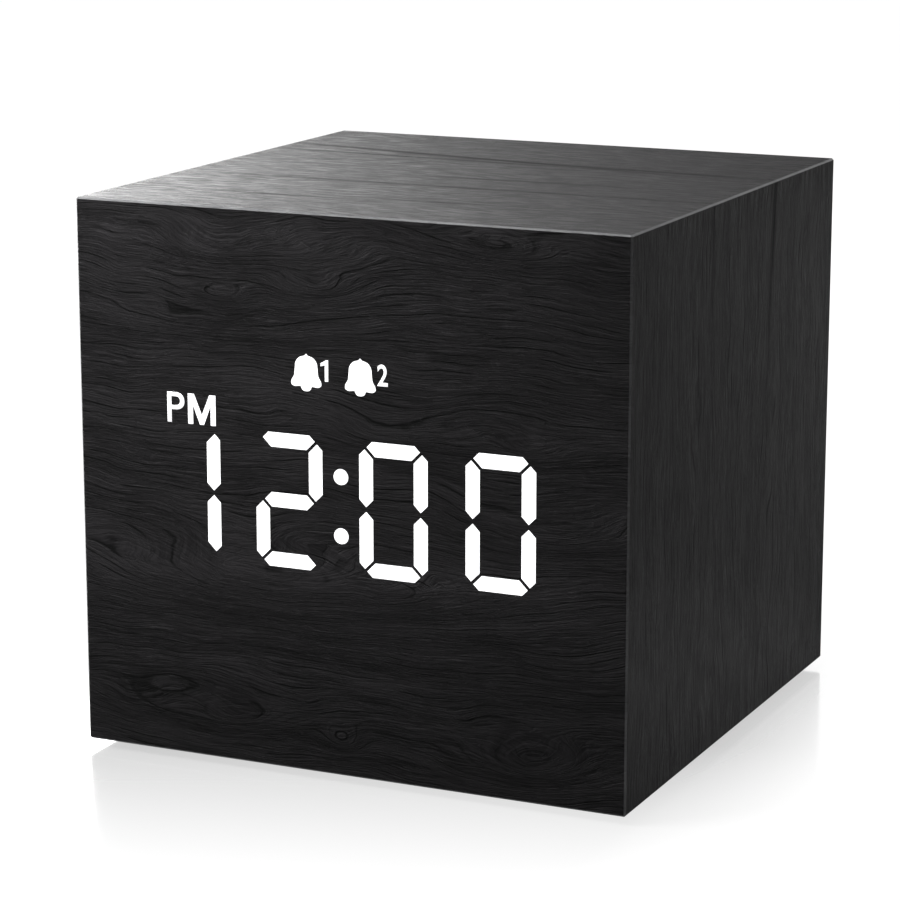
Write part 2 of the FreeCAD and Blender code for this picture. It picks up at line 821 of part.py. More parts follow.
SEGMENTS = {
    "a": lambda x: level_bar(x, "+"),
    "b": lambda x: upright_bar(x, "+", "+"),
    "c": lambda x: upright_bar(x, "+", "-"),
    "d": lambda x: level_bar(x, "-"),
    "e": lambda x: upright_bar(x, "-", "-"),
    "f": lambda x: upright_bar(x, "-", "+"),
    "g": middle_bar,
}


def segment_sketch(name, y, step, letters):
    """The outlines of some of one digit's segments."""
    sketch = free_sketch(name, y)
    for letter in letters:
        outline(sketch, SEGMENTS[letter](digit_x(step)))
    return sketch


def colon_sketch(name, y, dia):
    """The two dots between the hours and the minutes."""
    sketch = free_sketch(name, y)
    for up in "+-":
        circle(sketch, "display_shift", f"digit_z {up} colon_rise", dia)
    return sketch


def icon_windows():
    """The (x, z) spans of the windows for the afternoon sign and the two alarm signs."""
    spans = [("pm_shift", "pm_rise", "pm_width", "pm_tall")]
    for side in ("-", "+"):
        spans.append((f"alarm_shift {side} alarm_pitch / 2", "alarm_rise", "alarm_width", "alarm_tall"))
    return [
        (
            (f"display_shift + {x} - {w} / 2", f"display_shift + {x} + {w} / 2"),
            (f"digit_z + {z} - {h} / 2", f"digit_z + {z} + {h} / 2"),
        )
        for x, z, w, h in spans
    ]


def display_screw_spots():
    """(x, z) of the four screws through the display card and the light block's flange."""
    return [
        (f"{x} (display_half_width - flange_screw_inset)", z)
        for x in ("display_shift -", "display_shift +")
        for z in ("light_low_z + flange_screw_rise", "light_top_z - flange_screw_rise")
    ]


def make_lenses():
    """Clear lenses in the mouths of the light wells. The lit ones come through the film."""
    lit, unlit = [], []
    for digit, step, letters in digits():
        shown = segment_sketch(digit + "_lit", "front_y", step, letters)
        lit.append(shown)
        name_piece(extrusion(digit + "_lens", shown, "film_thick + lens_deep"), digit + "_segments")
        dark = "".join(s for s in SEGMENTS if s not in letters)
        unlit.append(segment_sketch(digit + "_unlit", "board_front_y", step, dark))
    dots = colon_sketch("colon_lit", "front_y", "colon_dia")
    name_piece(extrusion("colon_lens", dots, "film_thick + lens_deep"), "colon_dots")
    icons = free_sketch("icon_outline", "board_front_y")
    for x, z in icon_windows():
        rectangle(icons, x, z)
    name_piece(extrusion("icon_lens", icons, "lens_deep"), "icon_lenses")
    dark_lenses = [extrusion(s.Name + "_lens", s, "lens_deep") for s in unlit]
    name_piece(group("unlit_lenses", dark_lenses), "unlit_segments")
    return lit, unlit, icons


def make_light_block(segment_sketches, icons):
    """The white block: a flange against the board, a body in its window, and a light well per segment."""
    body = body_named("light")
    flange = sketch_on(body, "flange_outline", "XZ_Plane", "inner_front_y")
    card_outline(flange)
    pad(body, flange, "flange_thick")
    nose = sketch_on(body, "nose_outline", "XZ_Plane", "inner_front_y")
    rectangle(nose, (LIGHT_LEFT, LIGHT_RIGHT), ("light_low_z", "light_top_z"))
    pad(body, nose, "board_thick", "-")
    deep = "board_thick + flange_thick + film_thick + overrun"
    colon = colon_sketch("colon_well", "front_y", "colon_dia + lens_play * 2")
    mouths = [*segment_sketches, icons, colon]
    wells = [extrusion(s.Name + "_well", s, deep, "film_thick + overrun") for s in mouths]
    name_piece(cut("light_cut", body, group("light_wells", wells)), "light_block")
    return colon


def card_outline(sketch):
    """The display card's edge, which the flange shares, and its four screw holes."""
    rectangle(
        sketch,
        (f"{LIGHT_LEFT} - flange_reach", f"{LIGHT_RIGHT} + flange_reach"),
        ("light_low_z", "light_top_z"),
    )
    for x, z in display_screw_spots():
        circle(sketch, x, z, "screw_dia + screw_play * 2")


def make_display_card():
    """The circuit card behind the light block."""
    body = body_named("card")
    section = sketch_on(body, "display_card_outline", "XZ_Plane", "display_card_y")
    card_outline(section)
    pad(body, section, "card_thick")
    name_piece(body, "display_card")


def make_lamps():
    """A small lamp on the display card in the middle of every light well."""
    places = {"level": [], "upright": [], "square": []}
    high, wide = "(digit_tall / 2 - stroke / 2)", "(digit_width / 2 - stroke / 2)"
    for up in "+-":
        places["square"].append(("display_shift", "display_card_y", f"digit_z {up} colon_rise"))
    for x, z in icon_windows():
        places["level"].append((f"({x[0]} + {x[1]}) / 2", "display_card_y", f"({z[0]} + {z[1]}) / 2"))
    for _, step, _ in digits():
        x = digit_x(step)
        for z in ("digit_z", f"digit_z + {high}", f"digit_z - {high}"):
            places["level"].append((x, "display_card_y", z))
        for side in "+-":
            for up in "+-":
                z = f"digit_z {up} {high} / 2"
                places["upright"].append((f"{x} {side} {wide}", "display_card_y", z))
    long, wide = "led_long", "led_wide"
    spans = {"level": (long, wide), "upright": (wide, long), "square": (wide, wide)}
    sets = []
    for lie, (across, tall) in spans.items():
        body = body_named("lamp_" + lie)
        section = sketch_on(body, f"lamp_{lie}_face", "XZ_Plane")
        rectangle(section, (f"-{across} / 2", f"{across} / 2"), (f"-{tall} / 2", f"{tall} / 2"))
        pad(body, section, "led_tall", "-")
        sets.append(copies("lamp_" + lie, body, places[lie]))
    name_piece(group("lamp_sets", sets), "led_chips")


# Screws


def pan_screw(name, through, bite="screw_bite"):
    """A screw with a low round head. Its shank goes through a thickness and then bites."""
    shank, head = "screw_dia / 2", "screw_head_dia / 2"
    reach = f"({through} + {bite})"
    return turned(
        name,
        [
            ("0", f"-{reach}"),
            (shank, f"-{reach} + screw_tip"),
            (shank, "0"),
            (head, "0"),
            (head, "screw_head_tall - screw_head_edge"),
            (f"{head} - screw_head_edge", "screw_head_tall"),
            ("0", "screw_head_tall"),
        ],
    )


def make_inner_screws():
    """The screws that hold the display, the tray and the main card."""
    display = pan_screw("display_screw", "flange_thick + card_thick")
    spots = [(x, "display_card_back_y", z) for x, z in display_screw_spots()]
    name_piece(copies("display_screw", display, spots, REARWARD), "display_screws")
    tray = pan_screw("tray_screw", "tray_flange_thick")
    spots = [(x, y, "base_z + shell_wall + tray_flange_thick") for x, y in tray_screw_spots()]
    name_piece(copies("tray_screw", tray, spots), "tray_screws")
    card = pan_screw("card_screw", "card_thick")
    spots = [(x, "card_front_y", z) for x, z in card_screw_spots()]
    name_piece(copies("card_screw", card, spots, UPRIGHT), "card_screws")


# Back cover


def cover_screw_spots():
    """(x, z) of the four screws near the cover's corners."""
    across = "(inner_half_width - block_side / 2)"
    return [(f"{side}{across}", z) for side in ("-", "") for z in corner_heights()]


def corner_heights():
    """Heights of the lower and the upper corner blocks' middles."""
    return ("inner_base_z + block_side / 2", "inner_top_z - block_side / 2")


def card_screw_spots():
    """(x, z) of the two screws that hold the main card on its standoffs."""
    return [(f"{side}(card_half_width - card_screw_inset)", "card_screw_z") for side in ("-", "")]


def clamp_spots():
    """(x, z) of the two screws beside the speaker."""
    reach = "(speaker_dia / 2 + clamp_reach)"
    return [(f"-{reach}", "speaker_z"), (reach, "speaker_z")]


def key_places():
    """(name, x, diameter) of the four keys, from left to right as seen from the front."""
    return [
        ("talk_key", "talk_key_x", "talk_key_dia"),
        ("set_key", "set_key_x", "key_dia"),
        ("down_key", "set_key_x + key_pitch", "key_dia"),
        ("up_key", "set_key_x + key_pitch * 2", "key_dia"),
    ]


def make_back_cover():
    """The moulded cover: a plate with a rim, key holes, speaker grille, socket opening and bosses."""
    body = body_named("cover")
    half = "(inner_half_width - cover_play)"
    low, high = "(inner_base_z + cover_play)", "(inner_top_z - cover_play)"
    plate = sketch_on(body, "cover_plate", "XZ_Plane", "cover_inner_y")
    rectangle(plate, (f"-{half}", half), (low, high))
    slab = pad(body, plate, "cover_thick")
    doc.recompute()
    corners = [
        f"Edge{i}"
        for i, edge in enumerate(slab.Shape.Edges, start=1)
        if abs(edge.Vertexes[0].Y - edge.Vertexes[1].Y) > value("cover_thick") / 2
    ]
    fillet = body.newObject("PartDesign::Fillet", "cover_corners")
    fillet.Base = (slab, corners)
    bind(fillet, "Radius", "cover_round")
    add_cover_ribs(body)
    add_bosses(body)
    cut_cover_holes(body)
    cut_grille(body)
    name_piece(body, "back_cover")


def add_cover_ribs(body):
    """A low rib along the cover's lower edge, between the corner blocks, and the card's upper rests."""
    rib = sketch_on(body, "cover_rib", "XZ_Plane", "cover_inner_y")
    half = "(inner_half_width - block_side - rib_wide)"
    low = "(inner_base_z + cover_play)"
    rectangle(rib, (f"-{half}", half), (low, f"{low} + rib_wide"))
    pad(body, rib, "rib_tall", "-")
    rests = sketch_on(body, "card_rests", "XZ_Plane", "cover_inner_y")
    for step in range(len(key_places()) - 1):
        middle = f"set_key_x - key_pitch / 2 + key_pitch * {step}"
        span = (f"{middle} - rest_width / 2", f"{middle} + rest_width / 2")
        rectangle(rests, span, ("card_top_z - rest_inset - rest_tall", "card_top_z - rest_inset"))
    pad(body, rests, "standoff_tall", "-")


def add_bosses(body):
    """The speaker's locating ring, its two clamp bosses and the main card's standoffs."""
    seat = "(gasket_thick + rim_thick)"
    ring = sketch_on(body, "speaker_ring", "XZ_Plane", "cover_inner_y")
    circle(ring, "0", "speaker_z", "speaker_dia + speaker_play * 2 + ring_wall * 2")
    circle(ring, "0", "speaker_z", "speaker_dia + speaker_play * 2")
    pad(body, ring, seat, "-")
    clamps = sketch_on(body, "clamp_bosses", "XZ_Plane", "cover_inner_y")
    for x, z in clamp_spots():
        circle(clamps, x, z, "standoff_dia")
    pad(body, clamps, seat, "-")
    standoffs = sketch_on(body, "card_standoffs", "XZ_Plane", "cover_inner_y")
    for x, z in card_screw_spots():
        circle(standoffs, x, z, "standoff_dia")
    pad(body, standoffs, "standoff_tall", "-")
    card_pilots = sketch_on(body, "standoff_pilots", "XZ_Plane", "card_rear_y")
    for x, z in card_screw_spots():
        circle(card_pilots, x, z, "screw_dia + screw_play * 2")
    pocket(body, card_pilots, "screw_bite + overrun")
    clamp_pilots = sketch_on(body, "clamp_pilots", "XZ_Plane", f"cover_inner_y - {seat}")
    for x, z in clamp_spots():
        circle(clamp_pilots, x, z, "screw_dia + screw_play * 2")
    pocket(body, clamp_pilots, "clamp_bite + overrun")


def cut_cover_holes(body):
    """Key holes, the socket's opening, and countersunk holes for the four corner screws."""
    keys = sketch_on(body, "key_holes", "XZ_Plane", "cover_inner_y")
    for _, x, dia in key_places():
        circle(keys, x, "key_z", f"{dia} + key_play * 2")
    slot(
        keys,
        "socket_shift",
        "(key_z - socket_drop)",
        "(socket_width + socket_play * 2)",
        "(socket_tall + socket_play * 2)",
    )
    pocket(body, keys, "cover_thick + overrun")
    spots = sketch_on(body, "cover_screw_spots", "XZ_Plane", "cover_face_y")
    for x, z in cover_screw_spots():
        circle(spots, x, z, "cover_screw_dia + screw_play * 2")
    doc.recompute()
    hole = body.newObject("PartDesign::Hole", "cover_screw_holes")
    hole.Profile = spots
    hole.Threaded = False
    hole.DepthType = "ThroughAll"
    hole.HoleCutType = "Countersink"
    hole.HoleCutCustomValues = True
    hole.HoleCutCountersinkAngle = 90
    hole.Reversed = True
    bind(hole, "Diameter", "cover_screw_dia + screw_play * 2")
    bind(hole, "HoleCutDiameter", "cover_screw_head_dia + screw_play * 2")


def cut_grille(body):
    """The speaker grille: one hole in the middle and rings of holes round it."""
    middle = sketch_on(body, "grille_middle", "XZ_Plane", "cover_inner_y")
    circle(middle, "0", "speaker_z", "grille_hole")
    pocket(body, middle, "cover_thick + overrun")
    for ring, count in enumerate(GRILLE_RINGS, start=1):
        first = sketch_on(body, f"grille_{ring}", "XZ_Plane", "cover_inner_y", ("0", "speaker_z"))
        circle(first, f"grille_step * {ring}", "0", "grille_hole")
        hole = pocket(body, first, "cover_thick + overrun")
        doc.recompute()
        pattern = body.newObject("PartDesign::PolarPattern", f"grille_ring_{ring}")
        pattern.Originals = [hole]
        pattern.Axis = (first, ["N_Axis"])
        pattern.Angle = 360
        pattern.Occurrences = count
        body.Tip = pattern


def make_corner_blocks():
    """Four wood blocks glued in the rear corners, with pilot holes for the cover's screws."""
    blocks = []
    for number, (x, z) in enumerate(cover_screw_spots(), start=1):
        wood = block(
            f"wood_{number}",
            (f"{x} - block_side / 2", f"{x} + block_side / 2"),
            ("cover_inner_y - block_long", "cover_inner_y"),
            (f"{z} - block_side / 2", f"{z} + block_side / 2"),
        )
        pilot = rod(
            f"wood_pilot_{number}",
            "cover_screw_dia + screw_play * 2",
            "cover_screw_long + overrun",
            x,
            "cover_face_y + overrun",
            z,
            UPRIGHT,
        )
        blocks.append(cut(f"corner_block_{number}", wood, pilot))
    name_piece(group("corner_block_set", blocks), "corner_blocks")


def make_cover_screws():
    """Countersunk screws, flush with the cover's face."""
    shank, head = "cover_screw_dia / 2", "cover_screw_head_dia / 2"
    screw = turned(
        "cover_screw",
        [
            ("0", "-cover_screw_long"),
            (shank, "-cover_screw_long + screw_tip * 2"),
            (shank, f"-({head} - {shank})"),
            (head, "0"),
            ("0", "0"),
        ],
    )
    spots = [(x, "cover_face_y", z) for x, z in cover_screw_spots()]
    name_piece(copies("cover_screw", screw, spots, REARWARD), "cover_screws")


# Keys and main card

PLUNGER_TOP = "(standoff_tall - switch_tall - plunger_proud)"


def make_keys():
    """Each key: a cap that shows, a flange that stops it falling out, and a stem down to its switch."""
    for name, x, dia in key_places():
        radius, top = f"({dia} / 2)", "(cover_thick + key_proud)"
        flange = f"({radius} + key_flange_reach)"
        stem = "plunger_dia / 2"
        low = "(key_seat_gap + key_flange_thick)"
        body = turned(
            name + "_cap",
            [
                ("0", f"-{PLUNGER_TOP}"),
                (stem, f"-{PLUNGER_TOP}"),
                (stem, f"-{low}"),
                (flange, f"-{low}"),
                (flange, "-key_seat_gap"),
                (radius, "-key_seat_gap"),
                (radius, f"{top} - key_edge", "key_edge * 2"),
                (f"{radius} - key_edge", top),
                ("0", top),
            ],
            x=x,
            y="cover_inner_y",
            z="key_z",
            turn=REARWARD,
        )
        mark = sketch_on(body, name + "_mark", "XY_Plane", top)
        draw_mark(mark, name)
        pad(body, mark, "key_mark_tall")
        name_piece(body, name)
        plunger = rod(
            name + "_post",
            "plunger_dia",
            "plunger_proud + plunger_deep",
            x,
            "card_rear_y + switch_tall - plunger_deep",
            "key_z",
            REARWARD,
        )
        name_piece(plunger, name + "_plunger")


def draw_mark(sketch, key):
    """The raised mark that a finger reads on each key."""
    long, wide = "key_mark_long / 2", "key_mark_wide / 2"
    if key == "talk_key":
        circle(sketch, "0", "0", "talk_mark_dia")
    elif key == "set_key":
        circle(sketch, "0", "0", "key_mark_long")
        circle(sketch, "0", "0", "key_mark_long - key_mark_wide * 2")
    elif key == "down_key":
        rectangle(sketch, (f"-{long}", long), (f"-{wide}", wide))
    else:
        corner = [(wide, long), (wide, wide), (long, wide)]
        quarters = [("", "", corner), ("", "-", corner[::-1]), ("-", "-", corner), ("-", "", corner[::-1])]
        outline(sketch, [(f"{right}{x}", f"{up}{y}") for right, up, spots in quarters for x, y in spots])


def make_switches():
    """A square switch behind each key, with a bore for its plunger."""
    body = body_named("switch")
    side = "switch_side / 2"
    base = sketch_on(body, "switch_base", "XY_Plane")
    rectangle(base, (f"-{side}", side), (f"-{side}", side))
    pad(body, base, "switch_tall")
    bore = sketch_on(body, "switch_bore", "XY_Plane", "switch_tall - plunger_deep - plunger_room")
    circle(bore, "0", "0", "plunger_dia + screw_play * 2")
    pocket(body, bore, "plunger_deep + plunger_room + overrun")
    spots = [(x, "card_rear_y", "key_z") for _, x, _ in key_places()]
    name_piece(copies("switch", body, spots, REARWARD), "key_switches")


def make_main_card():
    """The card behind the keys, screwed to the cover's standoffs."""
    body = body_named("main")
    section = sketch_on(body, "main_outline", "XZ_Plane", "card_front_y")
    rectangle(
        section,
        ("-card_half_width", "card_half_width"),
        ("card_low_z", "card_top_z"),
    )
    for x, z in card_screw_spots():
        circle(section, x, z, "screw_dia + screw_play * 2")
    pad(body, section, "card_thick")
    name_piece(body, "main_card")


def chip(name, x, long, wide, tall):
    """A flat chip on the front of the main card."""
    solid = block(
        name + "_body",
        (f"{x} - {long} / 2", f"{x} + {long} / 2"),
        (f"card_front_y - {tall}", "card_front_y"),
        (f"card_top_z - chip_drop - {wide} / 2", f"card_top_z - chip_drop + {wide} / 2"),
    )
    name_piece(solid, name)


def make_card_parts():
    """What the main card carries: clock chip, voice chip, crystal, capacitor and power socket."""
    chip("clock_chip", "clock_chip_shift", "clock_chip_long", "clock_chip_wide", "clock_chip_tall")
    chip("voice_chip", "voice_chip_shift", "voice_chip_long", "voice_chip_wide", "voice_chip_tall")
    crystal = rod(
        "crystal_can",
        "crystal_dia",
        "crystal_long",
        "card_half_width - crystal_inset",
        "card_front_y - crystal_dia / 2",
        "card_top_z - chip_drop - crystal_long / 2",
    )
    name_piece(crystal, "quartz_crystal")
    across = "-card_half_width + capacitor_inset"
    spot = (across, "card_front_y", "key_z")
    capacitor = rod("capacitor_can", "capacitor_dia", "capacitor_tall", *spot, UPRIGHT)
    name_piece(capacitor, "capacitor")
    socket = body_named("socket")
    mouth = sketch_on(socket, "socket_section", "XZ_Plane", "card_rear_y")
    middle = ("socket_shift", "(key_z - socket_drop)")
    slot(mouth, *middle, "socket_width", "socket_tall")
    slot(mouth, *middle, "(socket_width - socket_wall * 2)", "(socket_tall - socket_wall * 2)")
    pad(socket, mouth, "cover_face_y - socket_inset - card_rear_y")
    name_piece(socket, "power_socket_shell")
    tongue = block(
        "tongue_block",
        ("socket_shift - tongue_width / 2", "socket_shift + tongue_width / 2"),
        ("card_rear_y", "card_rear_y + tongue_long"),
        (f"{middle[1]} - tongue_thick / 2", f"{middle[1]} + tongue_thick / 2"),
    )
    name_piece(tongue, "power_socket_tongue")


def ribbon_heights():
    """Heights of the ribbon's ends, in the middle of the sockets on the display card and the main card."""
    return ("(light_top_z - plug_inset - plug_tall / 2)", "(card_low_z + plug_inset + plug_tall / 2)")


def make_ribbon():
    """The flat ribbon that hangs slack between a socket on the display card and one on the main card."""
    half = "plug_width / 2"
    ends = [
        ("display_card_back_y", "display_card_back_y + plug_deep"),
        ("card_front_y - plug_deep", "card_front_y"),
    ]
    plugs = [
        block(
            f"plug_{number}",
            (f"-{half}", half),
            span,
            (f"{height} - plug_tall / 2", f"{height} + plug_tall / 2"),
        )
        for number, (span, height) in enumerate(zip(ends, ribbon_heights()), start=1)
    ]
    name_piece(group("plugs", plugs), "ribbon_sockets")
    start, end = f"({ends[0][1]})", f"({ends[1][0]})"
    high, low = ribbon_heights()
    line = [
        (start, high),
        (f"({start} + ribbon_straight)", high),
        (f"(({start} + {end}) / 2)", f"(({high} + {low}) / 2 - ribbon_slack)"),
        (f"({end} - ribbon_straight)", low),
        (end, low),
    ]
    body = body_named("ribbon_strip")
    section = sketch_on(body, "ribbon_side", "YZ_Plane", "-ribbon_width / 2")
    upper = [(y, f"{z} + ribbon_thick / 2") for y, z in line]
    lower = [(y, f"{z} - ribbon_thick / 2") for y, z in line]
    outline(section, upper + lower[::-1])
    strip = pad(body, section, "ribbon_width")
    for side, points, sign, other in (("upper", upper, "+", "-"), ("lower", lower, "-", "+")):
        knees = [points[1], points[3]]
        strip = rounded(body, f"{side}_knees", strip, knees, f"ribbon_bend {sign} ribbon_thick / 2")
        strip = rounded(body, f"{side}_belly", strip, [points[2]], f"ribbon_belly {other} ribbon_thick / 2")
    name_piece(body, "display_ribbon")


def rounded(body, name, feature, spots, radius):
    """Rounds the feature's edges that run across the clock through (y, z) spots."""
    doc.recompute()
    edges = feature.Shape.Edges
    names = []
    for y, z in spots:
        spot = FreeCAD.Vector(0, value(y), value(z))
        nearest = min(range(len(edges)), key=lambda i: edges[i].CenterOfMass.distanceToPoint(spot))
        names.append(f"Edge{nearest + 1}")
    fillet = body.newObject("PartDesign::Fillet", name)
    fillet.Base = (feature, names)
    bind(fillet, "Radius", radius)
    return fillet


# Speaker


def make_speaker():
    """A small loudspeaker facing the grille. Heights run from the frame's front face into the cabinet."""
    at = dict(y="speaker_face_y", z="speaker_z", turn=UPRIGHT)
    rim, lip = "speaker_dia / 2", "speaker_lip"
    cup, bore = "cup_radius", "gap_radius"
    section = [(lip, "-gasket_thick"), (rim, "-gasket_thick"), (rim, "0"), (lip, "0")]
    name_piece(turned("gasket", section, **at), "speaker_gasket")
    frame = turned(
        "frame",
        [
            (lip, "0"),
            (rim, "0"),
            (rim, "rim_thick"),
            (f"{lip} + frame_wall", "rim_thick"),
            (cup, "frame_deep"),
            (bore, "frame_deep"),
            (bore, "frame_deep - frame_wall"),
            (f"{cup} - frame_wall / 2", "frame_deep - frame_wall"),
            (lip, "rim_thick"),
        ],
        **at,
    )
    name_piece(frame, "speaker_frame")
    back = "(frame_deep + yoke_deep)"
    yoke = turned(
        "yoke",
        [
            ("0", f"{back} - yoke_base"),
            (bore, f"{back} - yoke_base"),
            (bore, "frame_deep"),
            ("gap_radius + yoke_wall", "frame_deep"),
            ("gap_radius + yoke_wall", back),
            ("0", back),
        ],
        **at,
    )
    name_piece(yoke, "speaker_yoke")
    pole, floor = "pole_radius", f"{back} - yoke_base"
    section = [("0", "frame_deep"), (pole, "frame_deep"), (pole, floor), ("0", floor)]
    name_piece(turned("magnet", section, **at), "speaker_magnet")
    make_cone(at)


def make_cone(at):
    """The cone with its dome and voice coil, which move, and the soft roll that hangs it in the frame."""
    edge, coil, lip = "cone_radius", "coil_dia / 2", "speaker_lip"
    inner = f"({coil} - coil_wall)"
    cone = turned(
        "cone",
        [
            (edge, "cone_rise"),
            (edge, "cone_rise + paper_thick"),
            (coil, "cone_deep"),
            (coil, "coil_reach"),
            (inner, "coil_reach"),
            (inner, "cone_deep - paper_thick"),
            (f"{inner} * {DOME_FLAT_SHARE}", "cone_deep - dome_rise"),
            ("0", "cone_deep - dome_rise"),
            ("0", "cone_deep - dome_rise - paper_thick"),
            (f"{inner} * {DOME_FLAT_SHARE}", "cone_deep - dome_rise - paper_thick"),
            (coil, "cone_deep - paper_thick * 2"),
        ],
        **at,
    )
    name_piece(cone, "speaker_cone")
    near, far = f"{edge} + roll_width / 4", f"{lip} - roll_width / 4"
    surround = turned(
        "surround",
        [
            (edge, "cone_rise"),
            (near, "cone_rise - paper_thick"),
            (far, "cone_rise - paper_thick"),
            (lip, "cone_rise"),
            (lip, "cone_rise + paper_thick"),
            (far, "cone_rise"),
            (near, "cone_rise"),
            (edge, "cone_rise + paper_thick"),
        ],
        **at,
    )
    name_piece(surround, "speaker_surround")


def make_clamps():
    """Two straps that hold the speaker's rim down, each under a screw."""
    strap_y = "(cover_inner_y - gasket_thick - rim_thick)"
    body = body_named("clamp")
    section = sketch_on(body, "clamp_outline", "XY_Plane")
    rectangle(
        section,
        ("-clamp_reach - clamp_overlap", "standoff_dia / 2"),
        ("-clamp_width / 2", "clamp_width / 2"),
    )
    circle(section, "0", "0", "screw_dia + screw_play * 2")
    pad(body, section, "clamp_thick")
    (left_x, z), (right_x, _) = clamp_spots()
    flipped = FreeCAD.Rotation(FreeCAD.Vector(0, 1, 0), 180)
    right = doc.addObject("App::Link", "clamp_right")
    right.LinkedObject = body
    place(right, right_x, strap_y, z, UPRIGHT)
    left = doc.addObject("App::Link", "clamp_left")
    left.LinkedObject = body
    place(left, left_x, strap_y, z, flipped.multiply(UPRIGHT))
    name_piece(group("clamp_pair", [right, left]), "speaker_clamps")
    screw = pan_screw("clamp_screw", "clamp_thick", "clamp_bite")
    spots = [(x, f"{strap_y} - clamp_thick", z) for x, z in clamp_spots()]
    name_piece(copies("clamp_screw", screw, spots, UPRIGHT), "speaker_screws")


# Batteries


def tray_screw_spots():
    """(x, y) of the four screws in the tray's side flanges."""
    across = "(tray_half_width + tray_flange_reach / 2)"
    rows = ("bay_front_y + tray_screw_inset", "bay_rear_y - tray_screw_inset")
    return [(f"{side}{across}", y) for side in ("-", "") for y in rows]


def cell_places():
    """(x, is the cell's button to the rear) of the three cells, which lie head to tail."""
    return [("-cell_pitch", True), ("0", False), ("cell_pitch", True)]


def make_tray():
    """The battery tray, let into the bottom board: walls, roof, ribs, side flanges and door ledges."""
    body = body_named("tray")
    outer, wide = "tray_half_width", "flange_half_width"
    along = ("bay_front_y - tray_wall", "bay_rear_y + tray_wall")
    walls = sketch_on(body, "tray_outline", "XY_Plane", "base_z")
    rectangle(walls, (f"-{outer}", outer), along)
    pad(body, walls, "bay_roof_z + tray_wall - base_z")
    flange = sketch_on(body, "tray_flange", "XY_Plane", "base_z + shell_wall")
    rectangle(flange, (f"-{wide}", wide), along)
    for x, y in tray_screw_spots():
        circle(flange, x, y, "screw_dia + screw_play * 2")
    pad(body, flange, "tray_flange_thick")
    room = sketch_on(body, "tray_room", "XY_Plane", "base_z - overrun")
    rectangle(room, ("-bay_half_width", "bay_half_width"), ("bay_front_y", "bay_rear_y"))
    pocket(body, room, "bay_roof_z - base_z + overrun")
    ribs = sketch_on(body, "tray_ribs", "XY_Plane", "bay_roof_z")
    for side in "-+":
        middle = f"0 {side} cell_pitch / 2"
        span = (f"{middle} - tray_rib_wide / 2", f"{middle} + tray_rib_wide / 2")
        rectangle(ribs, span, ("bay_front_y", "bay_rear_y"))
    pad(body, ribs, "tray_rib_tall", "-")
    ledges = sketch_on(body, "door_ledges", "XY_Plane", "door_top_z + ledge_gap")
    span = ("bay_front_y + ledge_start", "bay_rear_y")
    rectangle(ledges, ("-bay_half_width", "-bay_half_width + ledge_wide"), span)
    rectangle(ledges, ("bay_half_width - ledge_wide", "bay_half_width"), span)
    pad(body, ledges, "ledge_tall")
    cut_tray_slots(body)
    name_piece(body, "battery_tray")


def cut_tray_slots(body):
    """Bores in the side walls for the door's hinge pins, and a slot for the latch's nose."""
    bores = sketch_on(body, "hinge_bores", "YZ_Plane", "-tray_half_width - overrun")
    circle(bores, "hinge_y", "hinge_z", "hinge_pin_dia + hinge_pin_play * 2")
    pocket(body, bores, "(tray_half_width + overrun) * 2")
    nose = sketch_on(body, "nose_slot", "XZ_Plane", "bay_rear_y - overrun")
    half = "(latch_width / 2 + door_play)"
    rectangle(
        nose,
        (f"-{half}", half),
        ("base_z + nose_low - nose_play", "base_z + nose_high + nose_play"),
    )
    pocket(body, nose, "tray_wall + overrun * 2")


def make_cells():
    """Three cells, each a can with a button at one end."""
    radius, nub = "aaa_dia / 2", "aaa_nub_dia / 2"
    can = "(aaa_long - aaa_nub_tall)"
    cell = turned(
        "cell",
        [
            ("0", "0"),
            (f"{radius} - aaa_edge", "0"),
            (radius, "aaa_edge"),
            (radius, f"{can} - aaa_edge"),
            (f"{radius} - aaa_edge", can),
            (nub, can),
            (nub, "aaa_long"),
            ("0", "aaa_long"),
        ],
    )
    links = []
    for number, (x, rearward) in enumerate(cell_places(), start=1):
        link = doc.addObject("App::Link", f"cell_{number}")
        link.LinkedObject = cell
        y = "bay_front_y + spring_room" if rearward else "bay_rear_y - spring_room"
        place(link, x, y, "cell_z", REARWARD if rearward else UPRIGHT)
        links.append(link)
    name_piece(group("cell_set", links), "aaa_cells")


